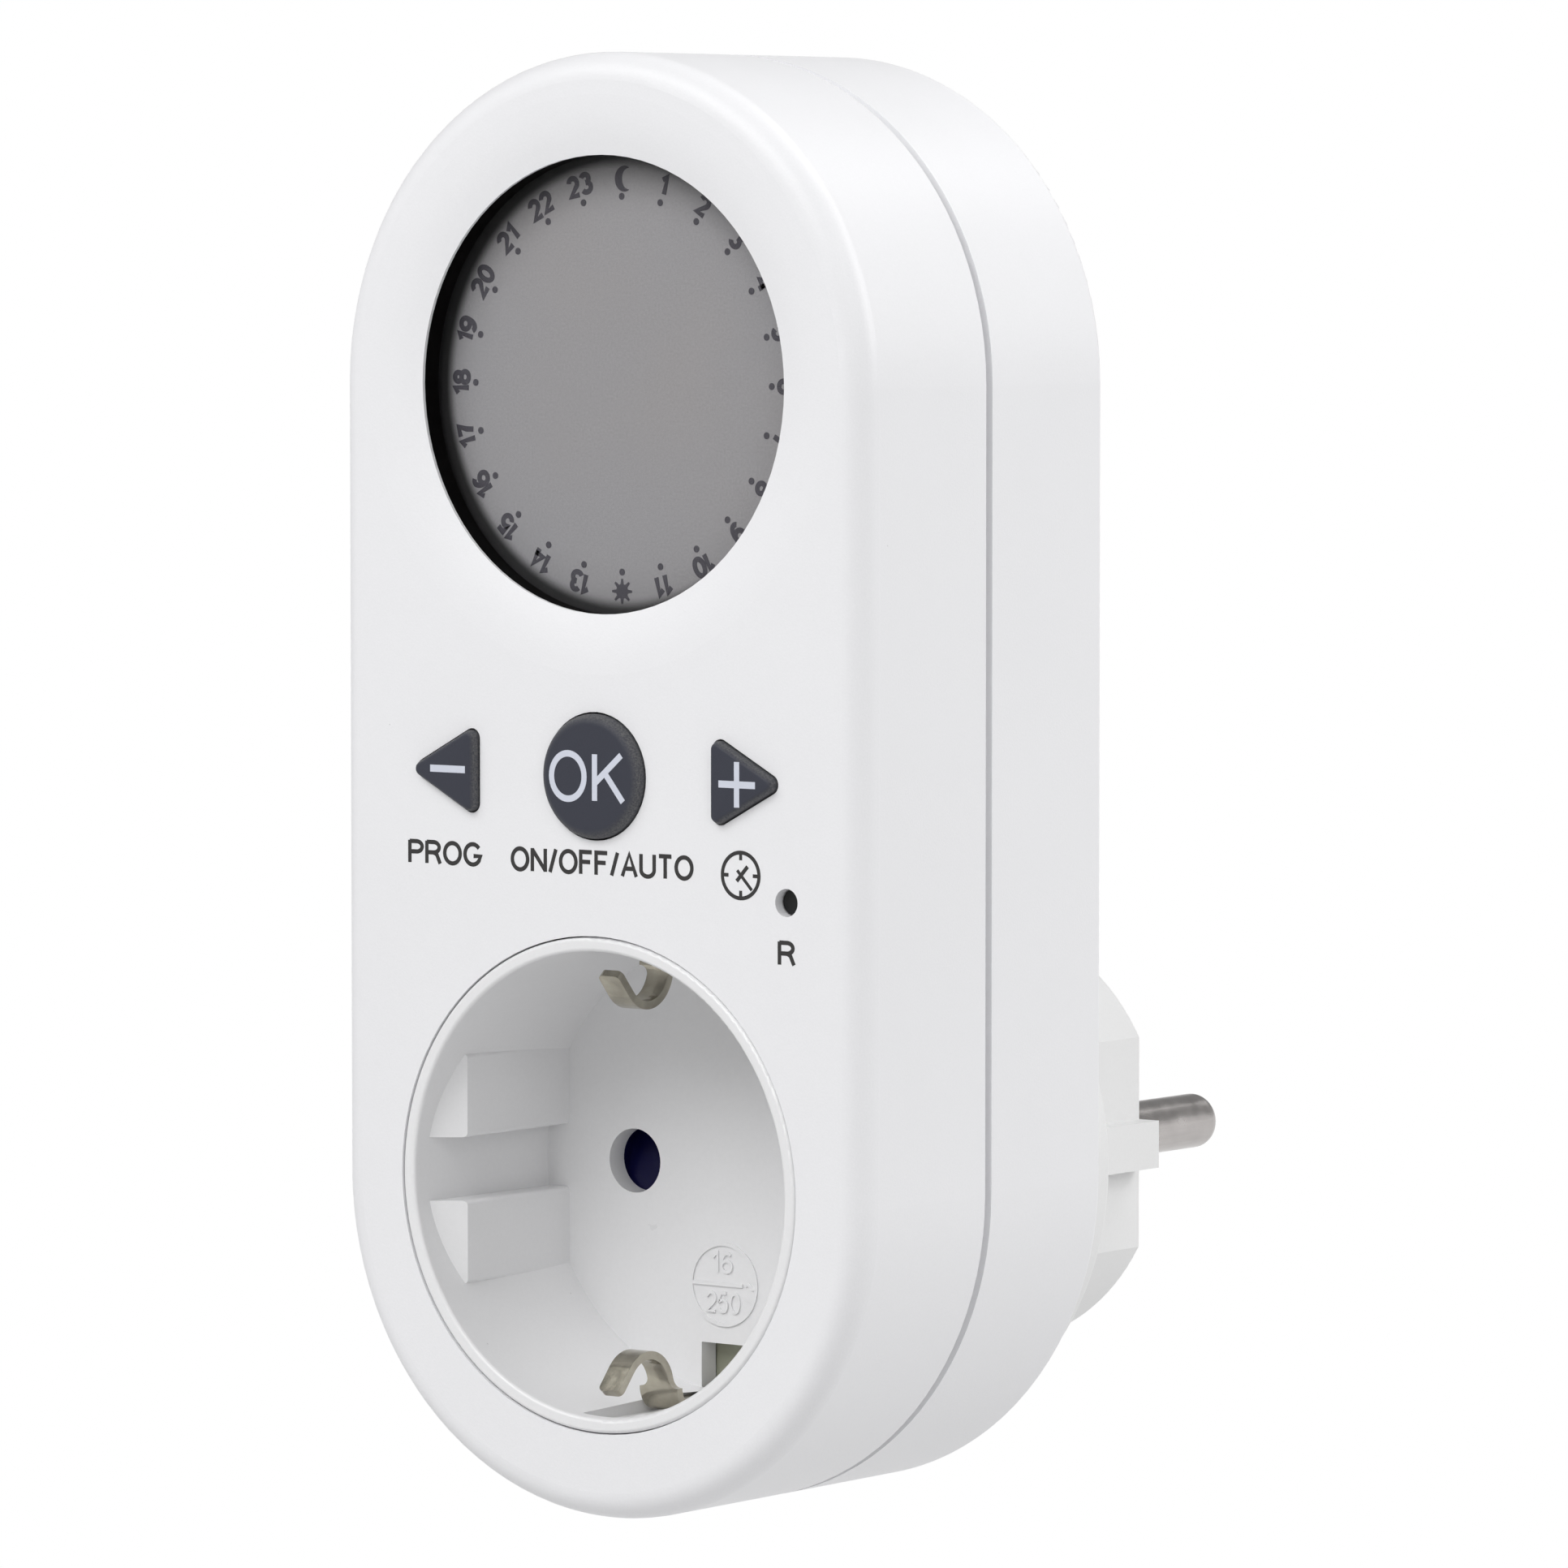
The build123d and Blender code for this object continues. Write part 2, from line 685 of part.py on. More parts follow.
with BuildPart() as socket_insert:
    with BuildSketch(plan_plane(0)):
        with BuildLine():
            Polyline(
                (0, floor_back),
                (well_tube_radius, floor_back),
                (well_tube_radius, flange_back),
                (well_flange_radius, flange_back),
                (well_flange_radius, face_inside),
                (well_ring_radius, face_inside),
                (well_ring_radius, front_reach),
                (well_mouth_radius, front_reach),
                (well_floor_radius, floor_reach),
                (0, floor_reach),
                close=True,
            )
        make_face()
    revolve(axis=forward_axis())
    fillet(faces().sort_by(Axis.Y)[0].edges(), well_ring_edge)
    add(guide_pair.part)
    mirror(guide_pair.part, about=Plane.YZ)
    bores(pin_places, pin_hole_radius, floor_back, floor_reach)
    # floor apertures and wall channels for the earth clips
    for side in (-1, 1):
        aperture_center = (0, side * (aperture_start + channel_radius) / 2)
        block(aperture_center, (aperture_width, channel_radius - aperture_start), floor_back,
              floor_reach, mode=Mode.SUBTRACT)
        channel_center = (0, side * (well_floor_radius + channel_radius) / 2)
        block(channel_center, (aperture_width, channel_radius - well_floor_radius), floor_back,
              front_reach - channel_depth_start, mode=Mode.SUBTRACT)
    # behind the floor: rails and stops of the shutter, and the carrier's bosses
    rail_bottom = -shutter_below - shutter_travel
    rail_top = shutter_top + fit_gap
    for side in (-1, 1):
        block((side * rail_x, (rail_bottom + rail_top) / 2), (shutter_rail, rail_top - rail_bottom),
              carrier_front, floor_back)
    block((0, rail_top + shutter_rail / 2), (2 * rail_x + shutter_rail, shutter_rail),
          carrier_front, floor_back)
    block((0, ledge_z - shutter_rail / 2), (4 * spring_radius, shutter_rail), carrier_front,
          floor_back)
    bosses(carrier_screw_places, small_boss_radius, carrier_front, floor_back)
    bores(
        carrier_screw_places,
        small_screw_radius + thread_gap,
        carrier_front,
        carrier_back + carrier_screw_length + fit_gap,
    )
finish_piece(socket_insert, "socket_insert")

with BuildPart() as safety_shutter:
    # plate with two holes above the pin line and ramps that the pins push down
    shutter_back = carrier_front + slide_gap
    shutter_front = shutter_back + shutter_thickness
    block((0, (shutter_top - shutter_below) / 2), (2 * shutter_half, shutter_top + shutter_below),
          shutter_back, shutter_front)
    hole_places = [(x, shutter_travel) for x, _ in pin_places]
    bores(hole_places, shutter_hole_radius, shutter_back, shutter_front)
    for x, _ in pin_places:
        with BuildSketch(side_plane(x)):
            with BuildLine():
                Polyline(
                    (shutter_front, -pin_hole_radius),
                    (shutter_front - shutter_ramp_depth, shutter_travel - pin_hole_radius),
                    (shutter_front, shutter_travel - pin_hole_radius),
                    close=True,
                )
            make_face()
        extrude(amount=shutter_hole_radius, both=True, mode=Mode.SUBTRACT)
finish_piece(safety_shutter, "safety_shutter")

with BuildPart() as shutter_spring:
    spring_reach = (carrier_front + floor_back) / 2
    turns_length = spring_length - 2 * fit_gap - 2 * spring_wire
    spring_start = (0, -spring_reach, ledge_z + fit_gap + spring_wire)
    with BuildLine():
        coil_path = Helix(spring_pitch, turns_length, spring_radius, center=spring_start)
    with BuildSketch(Plane(origin=coil_path @ 0, z_dir=coil_path % 0)):
        Circle(spring_wire)
    sweep(path=coil_path)
finish_piece(shutter_spring, "shutter_spring")

with BuildPart() as contact_carrier:
    with BuildSketch(facing(carrier_back)):
        Circle(carrier_radius)
        with Locations(*pin_places):
            Circle(carrier_hole_radius, mode=Mode.SUBTRACT)
        for side in (-1, 1):
            with Locations((0, side * earth_leg_z)):
                Rectangle(earth_strip_width + 2 * notch_gap, 2 * notch_gap + 2 * clip_strip,
                          mode=Mode.SUBTRACT)
        with Locations(*carrier_screw_places):
            Circle(small_screw_radius + fit_gap, mode=Mode.SUBTRACT)
    extrude(amount=carrier_wall)
    # raised pads that close the floor apertures from behind, up to the earth strips
    screen_end = earth_leg_z - notch_gap - clip_strip
    for side in (-1, 1):
        block((0, side * (aperture_start + screen_end) / 2),
              (aperture_width, screen_end - aperture_start), carrier_front, floor_back - fit_gap)
    with BuildSketch(facing(chimney_foot)):
        with Locations(*pin_places):
            Rectangle(2 * chimney_half, 2 * chimney_half)
            Rectangle(2 * chimney_half - 2 * chimney_wall, 2 * chimney_half - 2 * chimney_wall,
                      mode=Mode.SUBTRACT)
    extrude(amount=carrier_back - chimney_foot)
    # slots for the two bars that reach the contacts
    slot_width = bar_width + 2 * fit_gap
    slot_top = tap_reach + 2 * strip
    block((pin_x + chimney_half, 0), (3 * chimney_wall, slot_width), chimney_foot, slot_top,
          mode=Mode.SUBTRACT)
    block((-pin_x, chimney_half), (slot_width, 3 * chimney_wall), chimney_foot, slot_top,
          mode=Mode.SUBTRACT)
finish_piece(contact_carrier, "contact_carrier")

# ---- Display ------------------------------------------------------------------------

with BuildPart() as lcd_bezel:
    bosses([(0, window_z)], bezel_radius, board_front, face_inside)
    bosses([(0, window_z)], bezel_collar_radius, face_inside, bezel_front)
    bores([(0, window_z)], bezel_bore, board_front, bezel_front)
    bores([(0, window_z)], lcd_radius + fit_gap, board_front, lcd_reach + window_pane)
finish_piece(lcd_bezel, "lcd_bezel")

with BuildPart() as lcd_window:
    bosses([(0, window_z)], lcd_radius, lcd_reach, lcd_reach + window_pane)
finish_piece(lcd_window, "lcd_window")

with BuildPart() as lcd_panel:
    bosses([(0, window_z)], lcd_radius, lcd_ledge, lcd_reach)
    with BuildSketch(facing(lcd_back)):
        with Locations((0, window_z)):
            Circle(lcd_radius)
            Rectangle(2 * lcd_radius, 2 * lcd_rear_half, mode=Mode.INTERSECT)
    extrude(amount=lcd_rear_glass)
finish_piece(lcd_panel, "lcd_panel")

with BuildPart() as lcd_pad:
    bosses([(0, window_z)], pad_foam_radius, board_front, lcd_back)
finish_piece(lcd_pad, "lcd_pad")

for side, label in ((1, "zebra_strip_top"), (-1, "zebra_strip_bottom")):
    with BuildPart() as zebra_strip:
        zebra_z = window_z + side * (lcd_rear_half + slide_gap + zebra_width / 2)
        block((0, zebra_z), (zebra_length, zebra_width), board_front, lcd_ledge)
    finish_piece(zebra_strip, label)

# ---- Keys and their switches --------------------------------------------------------

for side, label in ((-1, "minus_key"), (1, "plus_key")):
    with BuildPart() as arrow_key:
        with BuildSketch(facing(key_flange_front)):
            arrow(side)
        extrude(amount=front_reach + arrow_proud - key_flange_front)
        fillet(faces().sort_by(Axis.Y)[0].edges(), key_edge_radius)
        with BuildSketch(facing(key_flange_back)):
            arrow(side, key_flange)
        extrude(amount=key_flange_thickness)
        bosses([(side * arrow_switch_x, key_z)], key_stem_radius, plunger_top, key_flange_back)
    finish_piece(arrow_key, label)

with BuildPart() as ok_key:
    bosses([(0, key_z)], ok_radius, key_flange_front, front_reach + ok_proud)
    fillet(faces().sort_by(Axis.Y)[0].edges(), key_edge_radius)
    bosses([(0, key_z)], ok_radius + key_flange, key_flange_back, key_flange_front)
    bosses([(0, key_z)], key_stem_radius, plunger_top, key_flange_back)
finish_piece(ok_key, "ok_key")

for x, name in ((-arrow_switch_x, "minus"), (0, "ok"), (arrow_switch_x, "plus")):
    with BuildPart() as switch:
        block((x, key_z), (switch_width, switch_width), board_front, board_front + switch_height)
        bores([(x, key_z)], plunger_radius + plunger_gap, board_front + switch_floor,
              board_front + switch_height)
    finish_piece(switch, f"{name}_switch")
    with BuildPart() as plunger:
        bosses([(x, key_z)], plunger_radius, plunger_foot, plunger_top)
    finish_piece(plunger, f"{name}_plunger")

with BuildPart() as reset_switch:
    block((reset_x, reset_z), (reset_switch_width, reset_switch_height), board_front,
          board_front + switch_height)
    bores(reset_place, reset_plunger_radius + plunger_gap, board_front + switch_floor,
          board_front + switch_height)
finish_piece(reset_switch, "reset_switch")

with BuildPart() as reset_plunger:
    reset_top = front_reach - reset_depth
    bosses(reset_place, reset_plunger_radius, reset_top - reset_plunger_length, reset_top)
finish_piece(reset_plunger, "reset_plunger")

# ---- Control board ------------------------------------------------------------------

header_inset = 5.6          # from the case's side
header_x = header_inset - case_radius
header_z = 57.8
header_pitch = 2.54
header_pins = 6
header_width = 2.5
header_pin = 0.64
header_hole_radius = 0.55
header_places = [
    (header_x, header_z + (i - (header_pins - 1) / 2) * header_pitch) for i in range(header_pins)
]

with BuildPart() as control_board:
    with BuildSketch(facing(board_back)):
        board_outline(control_bottom_z, case_boss_radius + notch_gap)
        with Locations(*control_screw_places):
            Circle(small_screw_radius + fit_gap, mode=Mode.SUBTRACT)
        with Locations(*header_places):
            Circle(header_hole_radius, mode=Mode.SUBTRACT)
    extrude(amount=board_thickness)
finish_piece(control_board, "control_board")

chip_place = (4.0, 60.0)
chip_width = 9.0
chip_height = 1.5
chip_lead_reach = 1.2
with BuildPart() as controller_chip:
    block(chip_place, (chip_width, chip_width), board_back - chip_height, board_back)
    chip_span = chip_width + 2 * chip_lead_reach
    block(chip_place, (chip_span, chip_span), board_back - chip_height / 4, board_back)
finish_piece(controller_chip, "controller_chip")

crystal_place = (13.5, 62.0)
crystal_radius = 1.0
crystal_length = 6.0
with BuildPart() as crystal:
    with BuildSketch(Plane.XY.offset(crystal_place[1])):
        with Locations((crystal_place[0], crystal_radius - board_back)):
            Circle(crystal_radius)
    extrude(amount=crystal_length)
finish_piece(crystal, "crystal")

battery_rise = 12.5         # above the window's centre
battery_radius = 7.6
battery_height = 5.4
battery_tab_width = 3.0
battery_tab_thickness = 0.3
battery_place = (0, window_z + battery_rise)
battery_front = board_back - battery_tab_thickness
with BuildPart() as backup_battery:
    bosses([battery_place], battery_radius, battery_front - battery_height, battery_front)
    block(battery_place, (3 * battery_radius, battery_tab_width), battery_front, board_back)
finish_piece(backup_battery, "backup_battery")

with BuildPart() as board_header:
    header_length = header_pins * header_pitch
    block((header_x, header_z), (header_width, header_length), board_back - header_width,
          board_back)
    with BuildSketch(facing(power_back - board_thickness / 2)):
        with Locations(*header_places):
            Rectangle(header_pin, header_pin)
    extrude(amount=board_front - power_back + board_thickness)
finish_piece(board_header, "board_header")

# ---- Power board --------------------------------------------------------------------

with BuildPart() as power_board:
    with BuildSketch(facing(power_back)):
        board_outline(power_bottom_z, pillar_radius + notch_gap)
        with Locations(*power_screw_places):
            Circle(small_screw_radius + fit_gap, mode=Mode.SUBTRACT)
        with Locations(*header_places):
            Circle(header_hole_radius, mode=Mode.SUBTRACT)
    extrude(amount=board_thickness)
finish_piece(power_board, "power_board")

film_place = (-10.8, 43.0)
film_size = (17.6, 9.0)
film_height = 14.5
film_edge = 0.5
with BuildPart() as film_capacitor:
    block(film_place, film_size, power_front, power_front + film_height)
    fillet(faces().sort_by(Axis.Y)[0].edges(), film_edge)
finish_piece(film_capacitor, "film_capacitor")

smoothing_place = (-9.5, 56.5)
smoothing_radius = 5.0
smoothing_height = 12.5
with BuildPart() as smoothing_capacitor:
    bosses([smoothing_place], smoothing_radius, power_front, power_front + smoothing_height)
    fillet(faces().sort_by(Axis.Y)[0].edges(), film_edge)
finish_piece(smoothing_capacitor, "smoothing_capacitor")

varistor_place = (-5.0, 34.8)
varistor_radius = 3.6
varistor_thickness = 3.2
varistor_lift = 1.0
lead_radius = 0.35
with BuildPart() as varistor:
    with BuildSketch(plan_plane(varistor_place[1])):
        with Locations((varistor_place[0], power_front + varistor_lift + varistor_radius)):
            Circle(varistor_radius)
    extrude(amount=varistor_thickness / 2, both=True)
    lead_places = [(varistor_place[0] + side * varistor_radius / 2, varistor_place[1])
                   for side in (-1, 1)]
    bosses(lead_places, lead_radius, power_front, power_front + varistor_lift + varistor_radius / 2)
finish_piece(varistor, "varistor")

rectifier_place = (4.0, 58.0)
rectifier_size = (8.4, 6.4)
rectifier_height = 3.0
with BuildPart() as bridge_rectifier:
    block(rectifier_place, rectifier_size, power_front, power_front + rectifier_height)
finish_piece(bridge_rectifier, "bridge_rectifier")

fuse_place = (8.5, 32.5)
fuse_radius = 1.8
fuse_length = 8.0
with BuildPart() as fuse_resistor:
    with BuildSketch(Plane.YZ.offset(fuse_place[0] - fuse_length / 2)):
        with Locations((-power_front - fuse_radius, fuse_place[1])):
            Circle(fuse_radius)
    extrude(amount=fuse_length)
    fillet(edges().filter_by(GeomType.CIRCLE), fuse_radius / 3)
    fuse_lead = fuse_length / 2 + bend_radius
    path = [
        (fuse_place[0] - fuse_lead, power_front),
        (fuse_place[0] - fuse_lead, power_front + fuse_radius),
        (fuse_place[0] + fuse_lead, power_front + fuse_radius),
        (fuse_place[0] + fuse_lead, power_front),
    ]
    bent_strip(plan_plane(fuse_place[1]), path, 2 * lead_radius, 2 * lead_radius)
finish_piece(fuse_resistor, "fuse_resistor")

# ---- Relay --------------------------------------------------------------------------

relay_x = 10.4
relay_z = 44.5
relay_size = (19.0, 15.5)
relay_height = 15.5
relay_wall = 0.8
relay_base_height = 1.8
iron = 1.2
coil_shift = 3.1            # of the coil towards the yoke's side
coil_x = relay_x - coil_shift
coil_radius = 4.8
coil_flange = 0.8
core_radius = 1.9
pole_radius = 3.2
pole_gap = 0.45
pivot_gap = 0.05            # between the armature and the yoke's edge it rocks on
yoke_half = 4.5
yoke_height = 10.4
blade = 0.4
relay_contact_radius = 1.2
relay_contact_drop = 5.6    # from the armature's hinge line to the contact's centre
relay_contact_gap = 0.35
relay_base_top = power_front + relay_base_height
hinge_reach = relay_base_top + yoke_height
hinge_x = coil_x + coil_radius + blade + blade
relay_place = (relay_x, relay_z)

with BuildPart() as relay_base:
    block(relay_place, relay_size, power_front, relay_base_top)
finish_piece(relay_base, "relay_base")

with BuildPart() as relay_cover:
    relay_top = power_front + relay_height
    block(relay_place, relay_size, relay_base_top, relay_top)
    fillet(faces().sort_by(Axis.Y)[0].edges(), film_edge)
    inside = (relay_size[0] - 2 * relay_wall, relay_size[1] - 2 * relay_wall)
    block(relay_place, inside, relay_base_top, relay_top - relay_wall, mode=Mode.SUBTRACT)
finish_piece(relay_cover, "relay_cover")

with BuildPart() as relay_yoke:
    # L-shaped iron with the coil's core standing on it
    foot_start = coil_x - pole_radius
    foot_length = hinge_x + iron - foot_start
    block((foot_start + foot_length / 2, relay_z), (foot_length, 2 * yoke_half), relay_base_top,
          relay_base_top + iron)
    block((hinge_x + iron / 2, relay_z), (iron, 2 * yoke_half), relay_base_top, hinge_reach)
    pole_top = hinge_reach - pole_gap
    bosses([(coil_x, relay_z)], core_radius, relay_base_top + iron, pole_top)
    bosses([(coil_x, relay_z)], pole_radius, pole_top - iron / 2, pole_top)
finish_piece(relay_yoke, "relay_yoke")

bobbin_foot = relay_base_top + iron
bobbin_top = pole_top - iron / 2
coil_place = [(coil_x, relay_z)]
with BuildPart() as relay_bobbin:
    bosses(coil_place, core_radius + coil_flange, bobbin_foot, bobbin_top)
    bosses(coil_place, coil_radius, bobbin_foot, bobbin_foot + coil_flange)
    bosses(coil_place, coil_radius, bobbin_top - coil_flange, bobbin_top)
    bores(coil_place, core_radius + thread_gap, bobbin_foot, bobbin_top)
finish_piece(relay_bobbin, "relay_bobbin")

with BuildPart() as relay_winding:
    winding_foot = bobbin_foot + coil_flange
    winding_top = bobbin_top - coil_flange
    bosses(coil_place, coil_radius - blade, winding_foot, winding_top)
    bores(coil_place, core_radius + coil_flange + thread_gap, winding_foot, winding_top)
finish_piece(relay_winding, "relay_winding")

blade_x = hinge_x + iron + blade
armature_foot = hinge_reach + pivot_gap
armature_top = armature_foot + iron
with BuildPart() as relay_armature:
    armature_start = coil_x - pole_radius - blade
    armature_size = (blade_x - armature_start, 2 * yoke_half - iron)
    block(((armature_start + blade_x) / 2, relay_z), armature_size, armature_foot, armature_top)
finish_piece(relay_armature, "relay_armature")

contact_reach = hinge_reach - relay_contact_drop
with BuildPart() as relay_moving_contact:
    block((blade_x + blade / 2, relay_z), (blade, yoke_half), contact_reach - relay_contact_radius,
          armature_top)
    with BuildSketch(Plane.YZ.offset(blade_x + blade)):
        with Locations((-contact_reach, relay_z)):
            Circle(relay_contact_radius)
    extrude(amount=iron / 2)
finish_piece(relay_moving_contact, "relay_moving_contact")

fixed_x = blade_x + blade + iron / 2 + relay_contact_gap
with BuildPart() as relay_fixed_contact:
    with BuildSketch(Plane.YZ.offset(fixed_x)):
        with Locations((-contact_reach, relay_z)):
            Circle(relay_contact_radius)
    extrude(amount=iron / 2)
    block((fixed_x + iron / 2 + blade / 2, relay_z), (blade, yoke_half), relay_base_top,
          contact_reach + 2 * relay_contact_radius)
finish_piece(relay_fixed_contact, "relay_fixed_contact")

# ---- Screws -------------------------------------------------------------------------

small_head = (small_head_radius, small_head_height)

with BuildPart() as case_screws:
    screws(case_screw_places, screw_seat, 1, (case_head_radius, case_head_height),
           case_screw_radius, case_screw_length)
finish_piece(case_screws, "case_screws")

with BuildPart() as control_board_screws:
    screws(control_screw_places, board_back, 1, small_head, small_screw_radius,
           control_screw_length)
finish_piece(control_board_screws, "control_board_screws")

with BuildPart() as power_board_screws:
    screws(power_screw_places, power_front, -1, small_head, small_screw_radius,
           power_screw_length)
finish_piece(power_board_screws, "power_board_screws")

with BuildPart() as carrier_screws:
    screws(carrier_screw_places, carrier_back, 1, small_head, small_screw_radius,
           carrier_screw_length)
finish_piece(carrier_screws, "carrier_screws")
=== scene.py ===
import bpy
import numpy as np
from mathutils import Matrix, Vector


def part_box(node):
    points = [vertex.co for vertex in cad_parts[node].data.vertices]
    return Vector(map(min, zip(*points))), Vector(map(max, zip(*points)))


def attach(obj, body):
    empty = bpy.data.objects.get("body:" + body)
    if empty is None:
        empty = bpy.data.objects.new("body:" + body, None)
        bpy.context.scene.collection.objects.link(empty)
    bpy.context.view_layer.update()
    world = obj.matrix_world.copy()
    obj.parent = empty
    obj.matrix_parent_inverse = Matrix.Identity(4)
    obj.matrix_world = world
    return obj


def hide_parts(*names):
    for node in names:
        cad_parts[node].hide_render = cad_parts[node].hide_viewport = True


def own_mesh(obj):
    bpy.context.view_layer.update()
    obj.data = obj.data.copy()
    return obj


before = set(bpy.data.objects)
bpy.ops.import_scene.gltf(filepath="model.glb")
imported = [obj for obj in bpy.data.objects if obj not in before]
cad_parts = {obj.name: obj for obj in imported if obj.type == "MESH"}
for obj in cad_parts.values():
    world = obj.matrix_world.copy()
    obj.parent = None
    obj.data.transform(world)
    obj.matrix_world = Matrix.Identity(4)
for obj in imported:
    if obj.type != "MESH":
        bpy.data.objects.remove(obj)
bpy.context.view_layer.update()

# ---- Covers ----------------------------------------------------------------------
# The two halves of the case are white ABS, moulded in a spark-eroded tool that leaves a
# fine satin grain. They meet at a sunk joint round the side, and four screws hold them.

mm = 0.001


def paint(red, green, blue):
    """Colour written as 0 to 255 on a screen, turned into linear light with alpha 1."""
    screen = np.array([red, green, blue]) / 255
    linear = np.where(screen <= 0.04045, screen / 12.92, ((screen + 0.055) / 1.055) ** 2.4)
    return (*linear.tolist(), 1.0)


def add_node(tree, kind, inputs=None, **settings):
    """Adds a shader node. Each input is a constant, or another node's output to link."""
    made = tree.nodes.new(kind)
    for name, value in settings.items():
        setattr(made, name, value)
    for name, value in (inputs or {}).items():
        if isinstance(value, bpy.types.NodeSocket):
            tree.links.new(value, made.inputs[name])
        else:
            made.inputs[name].default_value = value
    return made


def skin_group(name, numbers):
    """Node group with a colour and named numbers in, and colour, roughness and height out."""
    group = bpy.data.node_groups.new(name, "ShaderNodeTree")
    group.interface.new_socket("Colour", in_out="INPUT", socket_type="NodeSocketColor")
    for number in numbers:
        group.interface.new_socket(number, in_out="INPUT", socket_type="NodeSocketFloat")
    group.interface.new_socket("Colour", in_out="OUTPUT", socket_type="NodeSocketColor")
    for number in ("Roughness", "Height"):
        group.interface.new_socket(number, in_out="OUTPUT", socket_type="NodeSocketFloat")
    given = group.nodes.new("NodeGroupInput").outputs
    result = group.nodes.new("NodeGroupOutput").inputs
    return group, given, result


def math(tree, operation, first, second=0.0, third=0.0):
    """Math node's output for two or three numbers or sockets."""
    inputs = {0: first, 1: second, 2: third}
    return add_node(tree, "ShaderNodeMath", inputs, operation=operation).outputs[0]


def mould_skin():
    """Moulded plastic: colour clouded a little, rare specks of dust, fine grain for height."""
    group, given, result = skin_group("mould_skin", ("Gloss", "Grain", "Cloud"))
    place = add_node(group, "ShaderNodeTexCoord").outputs["Object"]
    grain = add_node(group, "ShaderNodeTexNoise",
                     {"Vector": place, "Scale": given["Grain"], "Detail": 3.0}).outputs["Fac"]
    cloud = add_node(group, "ShaderNodeTexNoise",
                     {"Vector": place, "Scale": 60.0, "Detail": 5.0}).outputs["Fac"]
    dust = add_node(group, "ShaderNodeTexVoronoi",
                    {"Vector": place, "Scale": 190.0}).outputs["Distance"]
    speck = math(group, "LESS_THAN", dust, 0.016)
    dim = math(group, "MULTIPLY", math(group, "SUBTRACT", cloud, 0.5), given["Cloud"])
    dim = math(group, "MULTIPLY_ADD", math(group, "SUBTRACT", grain, 0.5), 0.05, dim)
    level = math(group, "MULTIPLY_ADD", speck, -0.22, math(group, "ADD", dim, 1.0))
    tone = add_node(group, "ShaderNodeVectorMath", {0: given["Colour"], "Scale": level},
                    operation="SCALE").outputs[0]
    rough = math(group, "MULTIPLY_ADD", math(group, "SUBTRACT", cloud, 0.5), 0.12,
                 given["Gloss"])
    group.links.new(tone, result["Colour"])
    group.links.new(rough, result["Roughness"])
    group.links.new(grain, result["Height"])
    return group


def skin_material(name, skin, colour, numbers, bump, depth, **constants):
    """Material whose colour, roughness and bump come from a skin group.

    Bump is its strength and depth its distance in mm; the rest are set on the shader."""
    material = bpy.data.materials.new(name)
    material.use_nodes = True
    tree = material.node_tree
    shader = tree.nodes["Principled BSDF"]
    layer = add_node(tree, "ShaderNodeGroup", {"Colour": colour, **numbers}, node_tree=skin)
    relief = add_node(tree, "ShaderNodeBump", {"Strength": bump, "Distance": depth * mm,
                                               "Height": layer.outputs["Height"]})
    tree.links.new(layer.outputs["Colour"], shader.inputs["Base Color"])
    tree.links.new(layer.outputs["Roughness"], shader.inputs["Roughness"])
    tree.links.new(relief.outputs["Normal"], shader.inputs["Normal"])
    for socket, value in constants.items():
        shader.inputs[socket.replace("_", " ")].default_value = value
    return material


def dress(material, *nodes):
    """Gives this material to the named pieces of the frame."""
    for name in nodes:
        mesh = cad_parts[name].data
        mesh.materials.clear()
        mesh.materials.append(material)


mould = mould_skin()
case_white = skin_material("case_white_abs", mould, paint(234, 234, 236),
                           {"Gloss": 0.42, "Grain": 5200.0, "Cloud": 0.03}, 0.22, 0.05,
                           IOR=1.5)
dress(case_white, "front_cover", "rear_cover")

# ---- Plug and pins ---------------------------------------------------------------
# The plug body is a stiffer white polyamide than the case, a little warmer and glossier.
# Its two round pins are turned brass, nickel plated to a satin finish, moulded into it.

plug_white = skin_material("plug_white_polyamide", mould, paint(231, 231, 231),
                           {"Gloss": 0.36, "Grain": 3600.0, "Cloud": 0.04}, 0.15, 0.04,
                           IOR=1.53)
dress(plug_white, "plug_body")


def plate_skin():
    """Plated or rolled metal: drawn lines along Y, blotches of tarnish, hairline height."""
    group, given, result = skin_group("plate_skin", ("Gloss", "Line", "Tarnish"))
    place = add_node(group, "ShaderNodeTexCoord").outputs["Object"]
    drawn = add_node(group, "ShaderNodeMapping",
                     {"Vector": place, "Scale": (1.0, 0.06, 1.0)}).outputs["Vector"]
    line = add_node(group, "ShaderNodeTexNoise",
                    {"Vector": drawn, "Scale": given["Line"], "Detail": 4.0}).outputs["Fac"]
    blotch = add_node(group, "ShaderNodeTexNoise",
                      {"Vector": place, "Scale": 420.0, "Detail": 5.0}).outputs["Fac"]
    wash = math(group, "MULTIPLY", math(group, "SUBTRACT", blotch, 0.5), given["Tarnish"])
    level = math(group, "MULTIPLY_ADD", math(group, "SUBTRACT", line, 0.5), 0.16,
                 math(group, "ADD", wash, 1.0))
    tone = add_node(group, "ShaderNodeVectorMath", {0: given["Colour"], "Scale": level},
                    operation="SCALE").outputs[0]
    rough = math(group, "MULTIPLY_ADD", math(group, "SUBTRACT", blotch, 0.5), 0.25,
                 given["Gloss"])
    group.links.new(tone, result["Colour"])
    group.links.new(rough, result["Roughness"])
    group.links.new(line, result["Height"])
    return group


